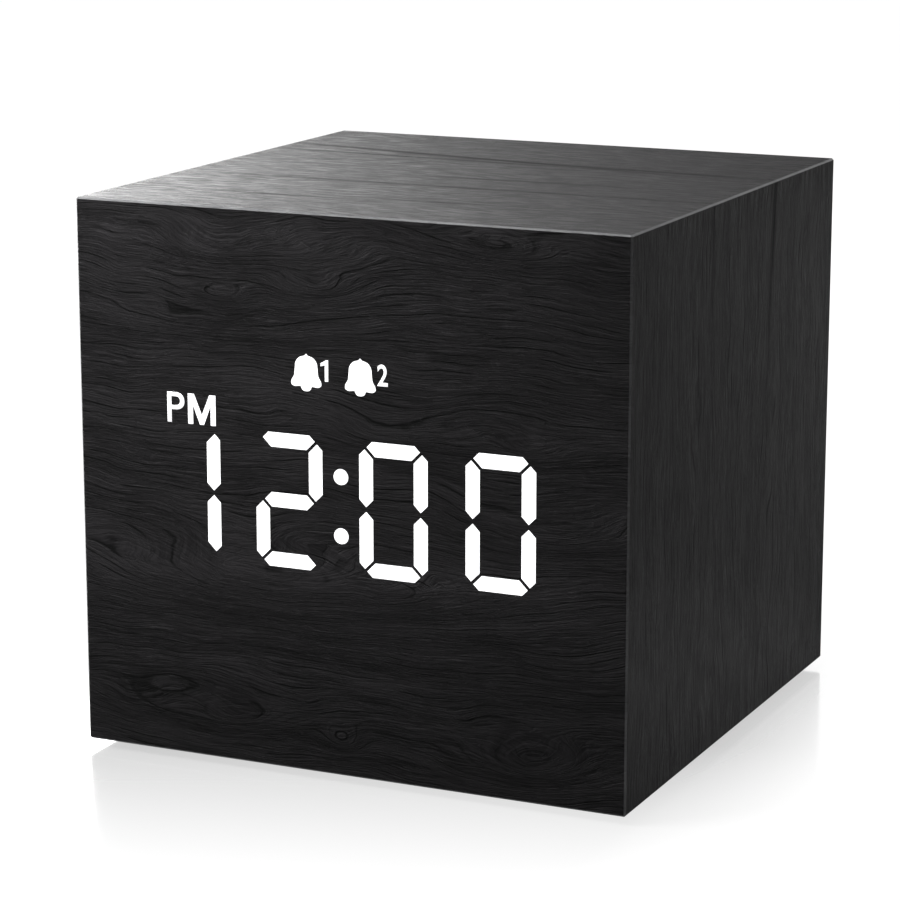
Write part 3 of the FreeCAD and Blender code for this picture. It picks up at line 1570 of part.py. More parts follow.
def make_contacts():
    """At each cell's flat end a bent leaf, and at its button end a plate with a raised button."""
    leaf = body_named("leaf")
    side = sketch_on(leaf, "leaf_side", "YZ_Plane", "-leaf_width / 2")
    half, bulge = "contact_tall / 2", "(spring_room - contact_thick)"
    outline(
        side,
        [
            ("0", f"-{half}"),
            ("0", half),
            ("contact_thick", half),
            (bulge, "contact_thick / 2"),
            ("spring_room", "contact_thick / 2"),
            ("spring_room", "-contact_thick / 2"),
            (bulge, "-contact_thick / 2"),
            ("contact_thick * 2", f"{half} - contact_thick * 2"),
            ("contact_thick", f"{half} - contact_thick * 2"),
            ("contact_thick", f"-{half}"),
        ],
    )
    pad(leaf, side, "leaf_width")
    button = body_named("button")
    plate = sketch_on(button, "button_plate", "XZ_Plane", "0")
    rectangle(plate, ("-contact_width / 2", "contact_width / 2"), (f"-{half}", half))
    pad(button, plate, "contact_thick")
    bump = sketch_on(button, "button_bump", "XZ_Plane", "contact_thick")
    circle(bump, "0", "0", "button_dia")
    pad(button, bump, "button_room - contact_thick")
    about = FreeCAD.Rotation(FreeCAD.Vector(0, 0, 1), 180)
    springs, buttons = [], []
    for number, (x, rearward) in enumerate(cell_places(), start=1):
        for kind, original, list_, at_front in (
            ("leaf", leaf, springs, rearward),
            ("button", button, buttons, not rearward),
        ):
            link = doc.addObject("App::Link", f"{kind}_{number}")
            link.LinkedObject = original
            end, turn = ("bay_front_y", LEVEL) if at_front else ("bay_rear_y", about)
            place(link, x, end, "cell_z", turn)
            list_.append(link)
    name_piece(group("leaf_set", springs), "spring_contacts")
    name_piece(group("button_set", buttons), "button_contacts")


def make_door():
    """The battery door: a plate with two hinge pins, finger ridges, and a gap for its latch."""
    body = body_named("door")
    plate = sketch_on(body, "door_plate", "XY_Plane", "door_low_z")
    half = "(bay_half_width - door_play)"
    gap = "(latch_width / 2 + finger_play)"
    inner = "(bay_rear_y - latch_gap - latch_leg - finger_play)"
    near, far = "bay_front_y + door_play", "bay_rear_y - door_play"
    outline(
        plate,
        [
            (f"-{half}", near),
            (half, near),
            (half, far),
            (gap, far),
            (gap, inner),
            (f"-{gap}", inner),
            (f"-{gap}", far),
            (f"-{half}", far),
        ],
    )
    pad(body, plate, "door_thick")
    pins = sketch_on(body, "hinge_pins", "YZ_Plane", f"-{half} - hinge_pin_long")
    circle(pins, "hinge_y", "hinge_z", "hinge_pin_dia")
    pad(body, pins, f"({half} + hinge_pin_long) * 2")
    for ridge in range(GRIP_RIDGES):
        groove = sketch_on(body, f"door_grip_{ridge + 1}", "XY_Plane", "door_low_z")
        y = f"({inner} - grip_step * {ridge + 1.5})"
        span = ("-grip_width / 2", "grip_width / 2")
        rectangle(groove, span, (f"{y} - grip_wide / 2", f"{y} + grip_wide / 2"))
        pocket(body, groove, "grip_deep")
    name_piece(body, "battery_door")
    make_latch()


def make_latch():
    """The door's bent spring latch. A finger presses its outer leg to free the nose from the tray."""
    body = body_named("latch")
    side = sketch_on(body, "latch_side", "YZ_Plane", "-latch_width / 2")
    outer = "(bay_rear_y - latch_gap)"
    back = f"({outer} - latch_depth)"
    top = "(base_z + latch_tall)"
    nose = "(bay_rear_y + latch_nose)"
    outline(
        side,
        [
            (back, "door_top_z"),
            (back, top),
            (outer, top),
            (outer, "base_z + nose_high"),
            (nose, "base_z + nose_high"),
            (nose, "base_z + nose_high - latch_gap"),
            (outer, "base_z + nose_low"),
            (outer, "door_low_z"),
            (f"{outer} - latch_leg", "door_low_z"),
            (f"{outer} - latch_leg", f"{top} - latch_leg"),
            (f"{back} + latch_leg", f"{top} - latch_leg"),
            (f"{back} + latch_leg", "door_top_z"),
        ],
    )
    pad(body, side, "latch_width")
    name_piece(body, "door_latch")


def check_document():
    """Stops if any object failed, or if a sub-part's solids are missing or broken."""
    doc.recompute()
    failed = [o.Name for o in doc.Objects if {"Invalid", "Error"} & set(o.State)]
    if failed:
        raise RuntimeError(f"these objects failed: {failed}")
    for label, piece in pieces.items():
        shape = piece.Shape
        if shape.isNull() or not shape.isValid() or not shape.Solids:
            raise RuntimeError(f"{label} has no valid solid")


def export():
    """Writes each sub-part to its own file."""
    os.makedirs("parts", exist_ok=True)
    for label, piece in pieces.items():
        shape = piece.Shape
        shape.exportStep(os.path.join("parts", label + ".step"))
        box = shape.BoundBox
        sides = [(box.XMin, box.XMax), (box.YMin, box.YMax), (box.ZMin, box.ZMax)]
        spans = ", ".join(f"{low:.2f} to {high:.2f}" for low, high in sides)
        print(f"{label}: {len(shape.Solids)} solids, {shape.Volume:.2f} mm3, {spans}")


def main():
    """Builds the clock from the outside in, then writes its sub-parts."""
    fill_sheet()
    make_boards()
    make_sleeve_film()
    lit, unlit, icons = make_lenses()
    colon = make_light_block([*lit, *unlit], icons)
    make_front_film([*lit, colon])
    make_feet()
    make_display_card()
    make_lamps()
    make_inner_screws()
    make_back_cover()
    make_corner_blocks()
    make_cover_screws()
    make_keys()
    make_switches()
    make_main_card()
    make_card_parts()
    make_ribbon()
    make_speaker()
    make_clamps()
    make_tray()
    make_cells()
    make_contacts()
    make_door()
    check_document()
    export()


main()
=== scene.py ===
# %% [markdown]
# # A talking clock in a wrapped wooden cube
#
# The real object is a cube of mitred fibreboard wrapped in black film that is printed and embossed as
# wood. White lights shine through openings in the film on its front, and its keys, speaker and power
# socket are at the back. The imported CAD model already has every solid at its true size, so this lesson
# adds what CAD leaves out: the camera, the light, the finishes and the small lit signs.

# %% Load the frame
import json
import math

import bmesh
import bpy
from mathutils import Matrix, Vector


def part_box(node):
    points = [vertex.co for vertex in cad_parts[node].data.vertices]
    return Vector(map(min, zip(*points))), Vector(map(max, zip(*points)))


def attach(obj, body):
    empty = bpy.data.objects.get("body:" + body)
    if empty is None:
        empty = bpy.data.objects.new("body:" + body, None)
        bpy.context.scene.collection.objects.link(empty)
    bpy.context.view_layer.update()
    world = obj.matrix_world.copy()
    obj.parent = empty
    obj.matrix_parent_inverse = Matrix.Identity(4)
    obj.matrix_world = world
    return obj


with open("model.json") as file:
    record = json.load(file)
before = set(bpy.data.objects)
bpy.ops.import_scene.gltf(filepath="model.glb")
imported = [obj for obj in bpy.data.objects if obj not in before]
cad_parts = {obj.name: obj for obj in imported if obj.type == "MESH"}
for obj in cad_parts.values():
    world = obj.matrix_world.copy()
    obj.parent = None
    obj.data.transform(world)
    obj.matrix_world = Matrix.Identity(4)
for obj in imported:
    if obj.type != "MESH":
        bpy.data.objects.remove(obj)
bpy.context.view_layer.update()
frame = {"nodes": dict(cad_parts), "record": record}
MM = 0.001

# %% [markdown]
# ## Camera
#
# The photograph looks down on the cube from the right of its display. Its edges give three vanishing
# points, and these give the place, the turn and the lens of the camera. A shifted lens would keep the
# uprights exactly parallel, but then the other views would lose the cube, so the camera has no shift.

# %% Camera
LENS_LENGTH = 127.14
SENSOR_WIDTH = 36
NEAREST_SEEN = 0.01
CAMERA_PLACE = (149.92, -332.32, 113.54)
# Degrees that the camera looks down, and that it is turned to the left of straight ahead
LOOKS_DOWN = 12.73
TURNED_LEFT = 24.66
camera_data = bpy.data.cameras.new("studio_camera")
camera_data.lens = LENS_LENGTH
camera_data.sensor_width = SENSOR_WIDTH
camera_data.clip_start = NEAREST_SEEN
camera = bpy.data.objects.new("studio_camera", camera_data)
camera.location = Vector(CAMERA_PLACE) * MM
camera.rotation_euler = (math.radians(90 - LOOKS_DOWN), 0, math.radians(TURNED_LEFT))
bpy.context.scene.collection.objects.link(camera)
bpy.context.scene.camera = camera
bpy.context.scene.view_settings.view_transform = "Standard"
print("camera", round(camera.location.length / MM), "mm from the cube's foot")

# %% [markdown]
# ## Wiring helpers
#
# A finish is a tree of shader nodes, and wiring them one by one takes many lines. Short helpers keep the
# trees readable: they feed a socket, do a sum, stretch a value between two limits, make noise, and tell
# where on the clock a point lies. Others start a node group or a material.

# %% Sockets and sums


def feed(tree, socket, value):
    """Links a socket to another node's output, or sets it to a plain value."""
    if isinstance(value, bpy.types.NodeSocket):
        tree.links.new(value, socket)
    else:
        socket.default_value = value


def sum_of(tree, operation, *values):
    """One step of arithmetic on numbers or outputs."""
    node = tree.nodes.new("ShaderNodeMath")
    node.operation = operation
    for socket, value in zip(node.inputs, values):
        feed(tree, socket, value)
    return node.outputs[0]


def squares(tree, first, second):
    """The squares of two numbers, added up."""
    return sum_of(tree, "ADD", sum_of(tree, "POWER", first, 2.0), sum_of(tree, "POWER", second, 2.0))


def weighted_sum(tree, values, shares):
    """The named values, each times its share, added up."""
    total = 0.0
    for name, share in shares.items():
        total = sum_of(tree, "MULTIPLY_ADD", values[name], share, total)
    return total


def stretch(tree, value, low, high, to_low=0.0, to_high=1.0, smooth=True):
    """The value, remapped so that low and high become to_low and to_high, and held between them."""
    node = tree.nodes.new("ShaderNodeMapRange")
    node.interpolation_type = "SMOOTHSTEP" if smooth else "LINEAR"
    for label, number in (("From Min", low), ("From Max", high), ("To Min", to_low), ("To Max", to_high)):
        feed(tree, node.inputs[label], number)
    feed(tree, node.inputs["Value"], value)
    return node.outputs["Result"]


def point(tree, x, y, z):
    """Three numbers as one vector."""
    node = tree.nodes.new("ShaderNodeCombineXYZ")
    for socket, value in zip(node.inputs, (x, y, z)):
        feed(tree, socket, value)
    return node.outputs[0]


def noise(tree, vector, scale=1.0, detail=2.0, roughness=0.5):
    """Soft noise, from about 0.2 to 0.8."""
    node = tree.nodes.new("ShaderNodeTexNoise")
    for label, number in (("Scale", scale), ("Detail", detail), ("Roughness", roughness)):
        node.inputs[label].default_value = number
    feed(tree, node.inputs["Vector"], vector)
    return node.outputs["Fac"]


def millimetres(tree):
    """Where the surface point is on the clock, in millimetres, as a vector and as x, y and z."""
    place = tree.nodes.new("ShaderNodeTexCoord").outputs["Object"]
    scale = tree.nodes.new("ShaderNodeVectorMath")
    scale.operation = "SCALE"
    scale.inputs["Scale"].default_value = 1 / MM
    tree.links.new(place, scale.inputs[0])
    split = tree.nodes.new("ShaderNodeSeparateXYZ")
    tree.links.new(scale.outputs[0], split.inputs[0])
    return scale.outputs[0], *split.outputs


def tint(tree, factor, dark, light):
    """A colour between two colours."""
    node = tree.nodes.new("ShaderNodeMix")
    node.data_type = "RGBA"
    feed(tree, node.inputs[0], factor)
    feed(tree, node.inputs[6], dark)
    feed(tree, node.inputs[7], light)
    return node.outputs[2]


def grey(level, warm=1.0, cool=1.0):
    """A near-neutral colour, as red, green, blue and alpha."""
    return (level * warm, level, level * cool, 1.0)


print("helpers for sums, noise, places and colours are ready")

# %% Groups and materials


def start_group(name, inputs, outputs):
    """A node group with named numbers going in and coming out."""
    tree = bpy.data.node_groups.new(name, "ShaderNodeTree")
    for label, start in inputs.items():
        tree.interface.new_socket(label, in_out="INPUT", socket_type="NodeSocketFloat").default_value = start
    for label in outputs:
        tree.interface.new_socket(label, in_out="OUTPUT", socket_type="NodeSocketFloat")
    return tree, tree.nodes.new("NodeGroupInput").outputs, tree.nodes.new("NodeGroupOutput").inputs


def use_group(tree, name, **values):
    """The group's outputs, with some inputs fed. A space in an input's name is written as _."""
    node = tree.nodes.new("ShaderNodeGroup")
    node.node_tree = bpy.data.node_groups[name]
    for label, value in values.items():
        feed(tree, node.inputs[label.replace("_", " ")], value)
    return node.outputs


def start_material(name, **plain):
    """A material, its tree and its Principled shader, with some sockets set to plain values."""
    material = bpy.data.materials.new(name)
    material.use_nodes = True
    shader = material.node_tree.nodes["Principled BSDF"]
    for label, value in plain.items():
        shader.inputs[label.replace("_", " ")].default_value = value
    return material, material.node_tree, shader


def emboss(tree, shader, height, depth):
    """Bumps the surface by a height from 0 to 1, whose depth is in millimetres."""
    bump = tree.nodes.new("ShaderNodeBump")
    bump.inputs["Distance"].default_value = depth * MM
    feed(tree, bump.inputs["Height"], height)
    tree.links.new(bump.outputs[0], shader.inputs["Normal"])


print("helpers for groups, materials and bumps are ready")

# %% [markdown]
# ## Floor and backdrop
#
# The photograph is a product shot on white, with a pale mirror image that fades away below the cube. The
# floor could be made white by strong lamps, but they would wash out the clock. So it glows white by
# itself, to the camera and to mirror rays, and its matt part takes the cube's shadow from the lamps. Its
# mirror part is strongest at the cube's foot and gone a few centimetres away. The photograph's image
# fades evenly towards its lower edge, so the share falls along one direction on the floor. The world
# behind is white in the same way as the floor.

# %% Floor sheet
FLOOR_REACH = 2.5
floor_mesh = bpy.data.meshes.new("studio_floor")
floor_shape = bmesh.new()
bmesh.ops.create_grid(floor_shape, x_segments=1, y_segments=1, size=FLOOR_REACH)
floor_shape.to_mesh(floor_mesh)
floor_shape.free()
floor = bpy.data.objects.new("studio_floor", floor_mesh)
bpy.context.scene.collection.objects.link(floor)
print("the floor is", 2 * FLOOR_REACH, "m wide")

# %% Floor finish
HALF_WIDTH = 33.0
FLOOR_MATT = grey(0.12)
FLOOR_GLOSS = 0.12
# Glow of the floor in mirrors, dimmed towards the cube's foot as painted shade that the cube's sides mirror:
# at the cube's foot, far away, and the distance in mm between the two
MIRRORED_GLOW_AND_SHADE = (0.08, 0.6, 240.0)
# Beside the cube this glow rises so many times faster than before it
SIDE_COUNTS = 8.0
# Share of the floor's mirror part for the light on the clock, by the same three numbers
PLAIN_SHARE = (0.16, 0.0, 52.0)
# The camera sees a stronger share, which fades along a direction on the floor, and beside and behind
IMAGE_SHARE = 0.40
FADE_WAY = (0.417, -0.909)
FADE_SPAN = (16.0, 71.6)
BESIDE_SPAN = 16.0
BEHIND_SPAN = 30.0


def white_for(tree, camera_white, mirror_white):
    """One white for rays from the camera, another for rays from a mirror or glass, and 0 for the rest."""
    path = tree.nodes.new("ShaderNodeLightPath").outputs
    mirror = sum_of(tree, "MAXIMUM", path["Is Glossy Ray"], path["Is Transmission Ray"])
    mirror = sum_of(tree, "MULTIPLY", mirror, mirror_white)
    return sum_of(tree, "MULTIPLY_ADD", path["Is Camera Ray"], camera_white, mirror)


def past_side(tree, place):
    """How far a place along x or y lies outside the cube, in mm, and 0 between its sides."""
    past = sum_of(tree, "SUBTRACT", sum_of(tree, "ABSOLUTE", place), HALF_WIDTH)
    return sum_of(tree, "MAXIMUM", past, 0.0)


def from_foot(tree, away, at_foot, far, reach, smooth=True):
    """A value that goes from one number at the cube's foot to another at some distance."""
    return stretch(tree, away, 0.0, reach, at_foot, far, smooth)


def mirror_share(tree, x, y, aside, before):
    """The share of the floor's mirror part. Only the camera sees the stronger one."""
    along_way = sum_of(tree, "MULTIPLY_ADD", x, FADE_WAY[0], sum_of(tree, "MULTIPLY", y, FADE_WAY[1]))
    image = stretch(tree, along_way, *FADE_SPAN, IMAGE_SHARE, 0.0, smooth=False)
    beside = from_foot(tree, aside, 1.0, 0.0, BESIDE_SPAN, smooth=False)
    behind = stretch(tree, y, HALF_WIDTH, HALF_WIDTH + BEHIND_SPAN, 1.0, 0.0, smooth=False)
    image = sum_of(tree, "MULTIPLY", sum_of(tree, "MULTIPLY", image, beside), behind)
    plain = from_foot(tree, sum_of(tree, "SQRT", squares(tree, aside, before)), *PLAIN_SHARE)
    to_camera = tree.nodes.new("ShaderNodeLightPath").outputs["Is Camera Ray"]
    return sum_of(tree, "MULTIPLY_ADD", to_camera, sum_of(tree, "SUBTRACT", image, plain), plain)


def finish_floor():
    """White card that shows a pale mirror image close to the cube."""
    material = bpy.data.materials.new("white_card")
    material.use_nodes = True
    tree = material.node_tree
    tree.nodes.clear()
    _, x, y, _ = millimetres(tree)
    aside = past_side(tree, x)
    before = past_side(tree, y)
    matt = tree.nodes.new("ShaderNodeBsdfDiffuse")
    matt.inputs["Color"].default_value = FLOOR_MATT
    counted = sum_of(tree, "MULTIPLY_ADD", aside, SIDE_COUNTS, before)
    # Mirror rays see the floor dimmed near the cube: painted shade round its foot
    mirrored = from_foot(tree, counted, *MIRRORED_GLOW_AND_SHADE, smooth=False)
    glow = tree.nodes.new("ShaderNodeEmission")
    tree.links.new(white_for(tree, 1.0, mirrored), glow.inputs["Strength"])
    both = tree.nodes.new("ShaderNodeAddShader")
    tree.links.new(matt.outputs[0], both.inputs[0])
    tree.links.new(glow.outputs[0], both.inputs[1])
    mirror = tree.nodes.new("ShaderNodeBsdfGlossy")
    mirror.inputs["Roughness"].default_value = FLOOR_GLOSS
    mix = tree.nodes.new("ShaderNodeMixShader")
    tree.links.new(mirror_share(tree, x, y, aside, before), mix.inputs[0])
    tree.links.new(both.outputs[0], mix.inputs[1])
    tree.links.new(mirror.outputs[0], mix.inputs[2])
    tree.links.new(mix.outputs[0], tree.nodes.new("ShaderNodeOutputMaterial").inputs["Surface"])
    floor.data.materials.append(material)
    print("floor finish has", len(tree.nodes), "nodes")


finish_floor()

# %% World
ROOM_LIGHT = 0.10
world = bpy.data.worlds.new("studio")
world.use_nodes = True
bpy.context.scene.world = world
backdrop = world.node_tree.nodes["Background"]
backdrop.inputs["Color"].default_value = grey(1.0)
white = white_for(world.node_tree, 1.0 - ROOM_LIGHT, 1.0 - ROOM_LIGHT)
world.node_tree.links.new(sum_of(world.node_tree, "ADD", white, ROOM_LIGHT), backdrop.inputs["Strength"])
print("the backdrop is white, and lights the clock at", ROOM_LIGHT)

# %% [markdown]
# ## Lamps
#
# The photograph's light is soft, and falls off from left to right across the display. One large lamp
# hangs overhead, and a small one close to the front's left makes that fall-off, because near light fades
# faster. Two more behind the clock light its back, which the photograph doesn't show.

# %% Lamps


def add_lamp(name, place, aim, size, glow):
    """A soft square lamp that gives off glow per area, where 1 lights a white card facing it to white."""
    data = bpy.data.lights.new(name, "AREA")
    data.shape = "RECTANGLE"
    data.size, data.size_y = (side * MM for side in size)
    data.energy = glow * math.pi * data.size * data.size_y
    lamp = bpy.data.objects.new(name, data)
    lamp.location = Vector(place) * MM
    lamp.rotation_euler = (Vector(aim) - Vector(place)).to_track_quat("-Z", "Y").to_euler()
    lamp.visible_camera = False
    bpy.context.scene.collection.objects.link(lamp)
    print(name, "gives", round(data.energy, 2), "W")


add_lamp("overhead_softbox", place=(-20, -60, 560), aim=(0, 0, 30), size=(600, 600), glow=1.1)
add_lamp("front_left_softbox", place=(-85, -105, 130), aim=(-10, -33, 35), size=(70, 70), glow=18.5)
add_lamp("rear_softbox", place=(40, 430, 170), aim=(0, 33, 35), size=(260, 200), glow=5.0)
add_lamp("rear_left_softbox", place=(-260, 330, 130), aim=(0, 0, 40), size=(300, 240), glow=2.4)

# %% [markdown]
# ## Reflection cards
#
# Glossy black film gets most of its brightness from what it mirrors. A photographer shades such a
# surface with cards that stand just outside the picture. One card here darkens the right side towards
# the front, and one behind brightens the top towards the left. Only mirror rays see them, so the
# shadows and the floor stay as the lamps make them.

# %% Reflection cards


def add_card(name, place, aim, size, shades, along):
    """A card that only mirror rays see, so it darkens or brightens the side that faces it.

    Its glow runs in even steps of exposure from the first shade to the second, between two places
    along x or y, in mm.
    """
    mesh = bpy.data.meshes.new(name)
    shape = bmesh.new()
    bmesh.ops.create_grid(shape, x_segments=1, y_segments=1, size=0.5)
    shift = Matrix.Translation(Vector(place) * MM)
    turn = (Vector(aim) - Vector(place)).to_track_quat("Z", "Y").to_matrix().to_4x4()
    scale = Matrix.Diagonal((size[0] * MM, size[1] * MM, 1.0, 1.0))
    bmesh.ops.transform(shape, matrix=shift @ turn @ scale, verts=shape.verts)
    shape.to_mesh(mesh)
    shape.free()
    card = bpy.data.objects.new(name, mesh)
    card.visible_camera = False
    card.visible_diffuse = False
    card.visible_shadow = False
    bpy.context.scene.collection.objects.link(card)
    material, tree, shader = start_material(name, Roughness=1.0, Specular_IOR_Level=0.0)
    shader.inputs["Base Color"].default_value = grey(0.0)
    shader.inputs["Emission Color"].default_value = grey(1.0)
    _, x, y, _ = millimetres(tree)
    axis, start, end = along
    powers = [math.log(shade) for shade in shades]
    power = stretch(tree, {"x": x, "y": y}[axis], start, end, *powers, smooth=False)
    tree.links.new(sum_of(tree, "EXPONENT", power), shader.inputs["Emission Strength"])
    mesh.materials.append(material)
    print(name, "is", size[0], "by", size[1], "mm")


add_card(
    "right_card",
    place=(85, 45, 80),
    aim=(0, 45, 80),
    size=(220, 160),
    shades=(0.055, 0.60),
    along=("y", 0, 155),
)
add_card(
    "rear_card",
    place=(-70, 125, 125),
    aim=(-70, 0, 125),
    size=(260, 150),
    shades=(17.0, 0.18),
    along=("x", -150, 4),
)

# %% [markdown]
# ## Wood-grain film
#
# The film is near-black plastic with printed and pressed wood figure. A real board shows nested curves
# where growth rings pass round a knot. Here one number runs across the board, as rings do, and soft
# spots lift it, so that lines of equal number close into eyes round each spot. Fine fibres and rings
# are then read from the lifted number, which is why they flow round the eyes by themselves.

# %% Soft spot group


def make_soft_spot():
    """1 in the middle of a long soft ellipse on the board and 0 far from it."""
    start = {
        "Along": 0,
        "Across": 0,
        "At Along": 0,
        "At Across": 0,
        "Half Length": 5,
        "Half Width": 1,
        "Slope": 0,
    }
    tree, given, out = start_group("soft_spot", start, ["Spot"])
    run = sum_of(tree, "SUBTRACT", given["Along"], given["At Along"])
    rise = sum_of(tree, "SUBTRACT", given["Across"], given["At Across"])
    rise = sum_of(tree, "SUBTRACT", rise, sum_of(tree, "MULTIPLY", run, given["Slope"]))
    lengths = sum_of(tree, "DIVIDE", run, given["Half Length"])
    widths = sum_of(tree, "DIVIDE", rise, given["Half Width"])
    far = squares(tree, lengths, widths)
    tree.links.new(sum_of(tree, "EXPONENT", sum_of(tree, "MULTIPLY", far, -1.0)), out["Spot"])
    print("soft_spot has", len(tree.nodes), "nodes")


make_soft_spot()

# %% Figured grain group
# Steps of noise per mm along and across the board, a shift that sets the layer apart, detail, roughness
GRAIN_LAYERS = {
    "sway": (0.04, 0.07, 1.0, 2.0, 0.5),
    "ripple": (0.13, 0.30, 2.0, 2.0, 0.5),
    "fibre": (0.16, 3.6, 3.0, 4.0, 0.62),
    "band": (0.035, 0.42, 4.0, 3.0, 0.5),
    "shown": (0.12, 0.6, 5.0, 4.0, 0.5),
    "pore": (0.7, 8.0, 6.0, 2.0, 0.5),
    "stroke": (0.19, 6.2, 7.0, 5.0, 0.68),
    "pressed": (0.05, 0.25, 8.0, 3.0, 0.5),
    "fleck": (0.24, 1.5, 9.0, 4.0, 0.7),
}
# Noise between these limits becomes 0 to 1, so that close limits give sharp edges
GRAIN_LIMITS = {
    "fibre": (0.3, 0.7),
    "band": (0.3, 0.7),
    "shown": (0.46, 0.60),
    "pore": (0.62, 0.70),
    "stroke": (0.41, 0.59),
    "pressed": (0.38, 0.60),
    "fleck": (0.36, 0.64),
}
# Where the film is pressed least, strokes keep this much of their strength
LEAST_PRESSED = 0.35
# How far the broad sway and the small ripple bend the grain, in mm
SWAY = 7.0
RIPPLE = 0.8
# Strokes and flecks follow the eyes only in part, because in the photograph they cut across them
SHALLOW_LIFT = 0.45
RINGS_PER_MM = 1.1
RING_HALF_WIDTH = 0.13


def make_figured_grain():
    """Strokes, fibres, rings and bands, by the place along and across a board and the lift of its spots."""
    start = {"Along": 0, "Across": 0, "Lift": 0, "Seed": 0}
    parts = ["Stroke", "Fibre", "Fleck", "Ring", "Band", "Pore"]
    tree, given, out = start_group("figured_grain", start, parts)

    def layer(name, across):
        by_along, by_across, shift, detail, roughness = GRAIN_LAYERS[name]
        x = sum_of(tree, "MULTIPLY", given["Along"], by_along)
        y = sum_of(tree, "MULTIPLY", across, by_across)
        z = sum_of(tree, "ADD", given["Seed"], shift)
        return noise(tree, point(tree, x, y, z), detail=detail, roughness=roughness)

    def bend(name, by):
        return sum_of(tree, "MULTIPLY", sum_of(tree, "SUBTRACT", layer(name, given["Across"]), 0.5), by)

    def mask(name, across, least=0.0):
        return stretch(tree, layer(name, across), *GRAIN_LIMITS[name], least, 1.0)

    bends = sum_of(tree, "ADD", bend("sway", SWAY), bend("ripple", RIPPLE))
    swayed = sum_of(tree, "ADD", given["Across"], bends)
    across = sum_of(tree, "ADD", swayed, given["Lift"])
    shallow = sum_of(tree, "MULTIPLY_ADD", given["Lift"], SHALLOW_LIFT, swayed)

    stroke = mask("stroke", shallow)
    pressed = mask("pressed", across, LEAST_PRESSED)
    middling = sum_of(tree, "MULTIPLY", sum_of(tree, "SUBTRACT", stroke, 0.5), pressed)
    tree.links.new(sum_of(tree, "ADD", middling, 0.5), out["Stroke"])

    step = sum_of(tree, "FRACT", sum_of(tree, "MULTIPLY", across, RINGS_PER_MM))
    from_line = sum_of(tree, "ABSOLUTE", sum_of(tree, "SUBTRACT", step, 0.5))
    line = stretch(tree, from_line, 0.0, RING_HALF_WIDTH, 1.0, 0.0)
    tree.links.new(sum_of(tree, "MULTIPLY", line, mask("shown", across)), out["Ring"])

    tree.links.new(mask("fibre", across), out["Fibre"])
    tree.links.new(mask("band", across), out["Band"])
    tree.links.new(mask("fleck", shallow), out["Fleck"])
    tree.links.new(mask("pore", shallow), out["Pore"])
    print("figured_grain has", len(tree.nodes), "nodes")


make_figured_grain()

# %% Fold highlight group
# The largest part of a fold's normal, where the painted highlight is full and where it ends
FOLD_FULL = 0.74
FOLD_NONE = 0.95


def make_fold_highlight():
    """1 on the narrow softened folds, whose normals lie between the cube's own directions. There a pale
    highlight is painted.
    """
    tree, _, out = start_group("fold_highlight", {}, ["Fold"])
    facing = tree.nodes.new("ShaderNodeNewGeometry").outputs["True Normal"]
    split = tree.nodes.new("ShaderNodeSeparateXYZ")
    tree.links.new(facing, split.inputs[0])
    flat = [sum_of(tree, "ABSOLUTE", side) for side in split.outputs]
    flattest = sum_of(tree, "MAXIMUM", sum_of(tree, "MAXIMUM", flat[0], flat[1]), flat[2])
    tree.links.new(stretch(tree, flattest, FOLD_FULL, FOLD_NONE, 1.0, 0.0), out["Fold"])


make_fold_highlight()
print("film groups:", [group.name for group in bpy.data.node_groups])

# %% Film colours and eyes
FILM_DARK = grey(0.0012, 1.02, 1.06)
FILM_LIGHT = grey(0.0235, 1.06, 1.07)
# Pale colour of the folds, a painted highlight
FILM_FOLD_HIGHLIGHT = grey(0.24, 1.0, 1.02)

# Middle (along, across), half length, half width, lift and slope of each eye on the display face, in mm
FACE_EYES = [
    (-15.3, 52.8, 4.6, 1.3, 2.6, 0.0),
    (-4.3, 54.6, 5.5, 1.5, 2.8, 0.03),
    (-11.0, 57.8, 13.0, 2.0, 3.0, 0.0),
    (-17.5, 49.6, 13.0, 1.8, 3.2, -0.02),
    (13.0, 38.8, 15.0, 2.2, 3.4, 0.0),
    (-12.0, 20.5, 17.0, 4.2, 7.0, -0.02),
    (6.7, 21.2, 8.0, 2.4, 4.2, 0.02),
    (-17.3, 4.8, 11.0, 2.8, 5.0, 0.0),
    (-0.3, 4.0, 2.6, 1.7, 3.4, 0.0),
    (22.0, 4.2, 9.0, 3.2, 5.6, 0.05),
    (17.7, 60.0, 8.0, 1.8, 3.4, -0.08),
    (24.0, 30.0, 12.0, 3.0, 3.6, 0.04),
]
# Broad darker and lighter areas of the face, with a darkness in place of the lift. The darker bottom and
# right side and the lighter upper left are painted shade and light, and the two narrow light bands are
# printed figure
FACE_PAINTED_SHADE_AND_BANDS = [
    (4.0, 4.0, 60.0, 11.0, 0.20, 0.0),
    (33.0, 47.0, 16.0, 14.0, 0.16, 0.0),
    (33.0, 14.0, 18.0, 9.0, 0.10, 0.0),
    (-14.0, 22.0, 26.0, 2.4, -0.22, 0.02),
    (20.0, 24.5, 18.0, 2.2, -0.14, 0.06),
    (-24.0, 57.0, 16.0, 5.0, -0.10, -0.05),
]
# The same for the sleeve, whose board starts along x on the top and runs down both sides
SLEEVE_EYES = [
    (-26.0, 22.0, 12.0, 3.0, 4.5, -0.1),
    (2.0, -3.0, 18.0, 3.2, 2.4, 0.0),
    (74.0, 8.0, 20.0, 4.0, 4.0, 0.05),
    (58.0, -16.0, 16.0, 3.0, 2.6, 0.0),
    (-66.0, 4.0, 20.0, 5.0, 6.0, 0.0),
    (-52.0, -17.0, 16.0, 3.0, 4.0, 0.0),
]
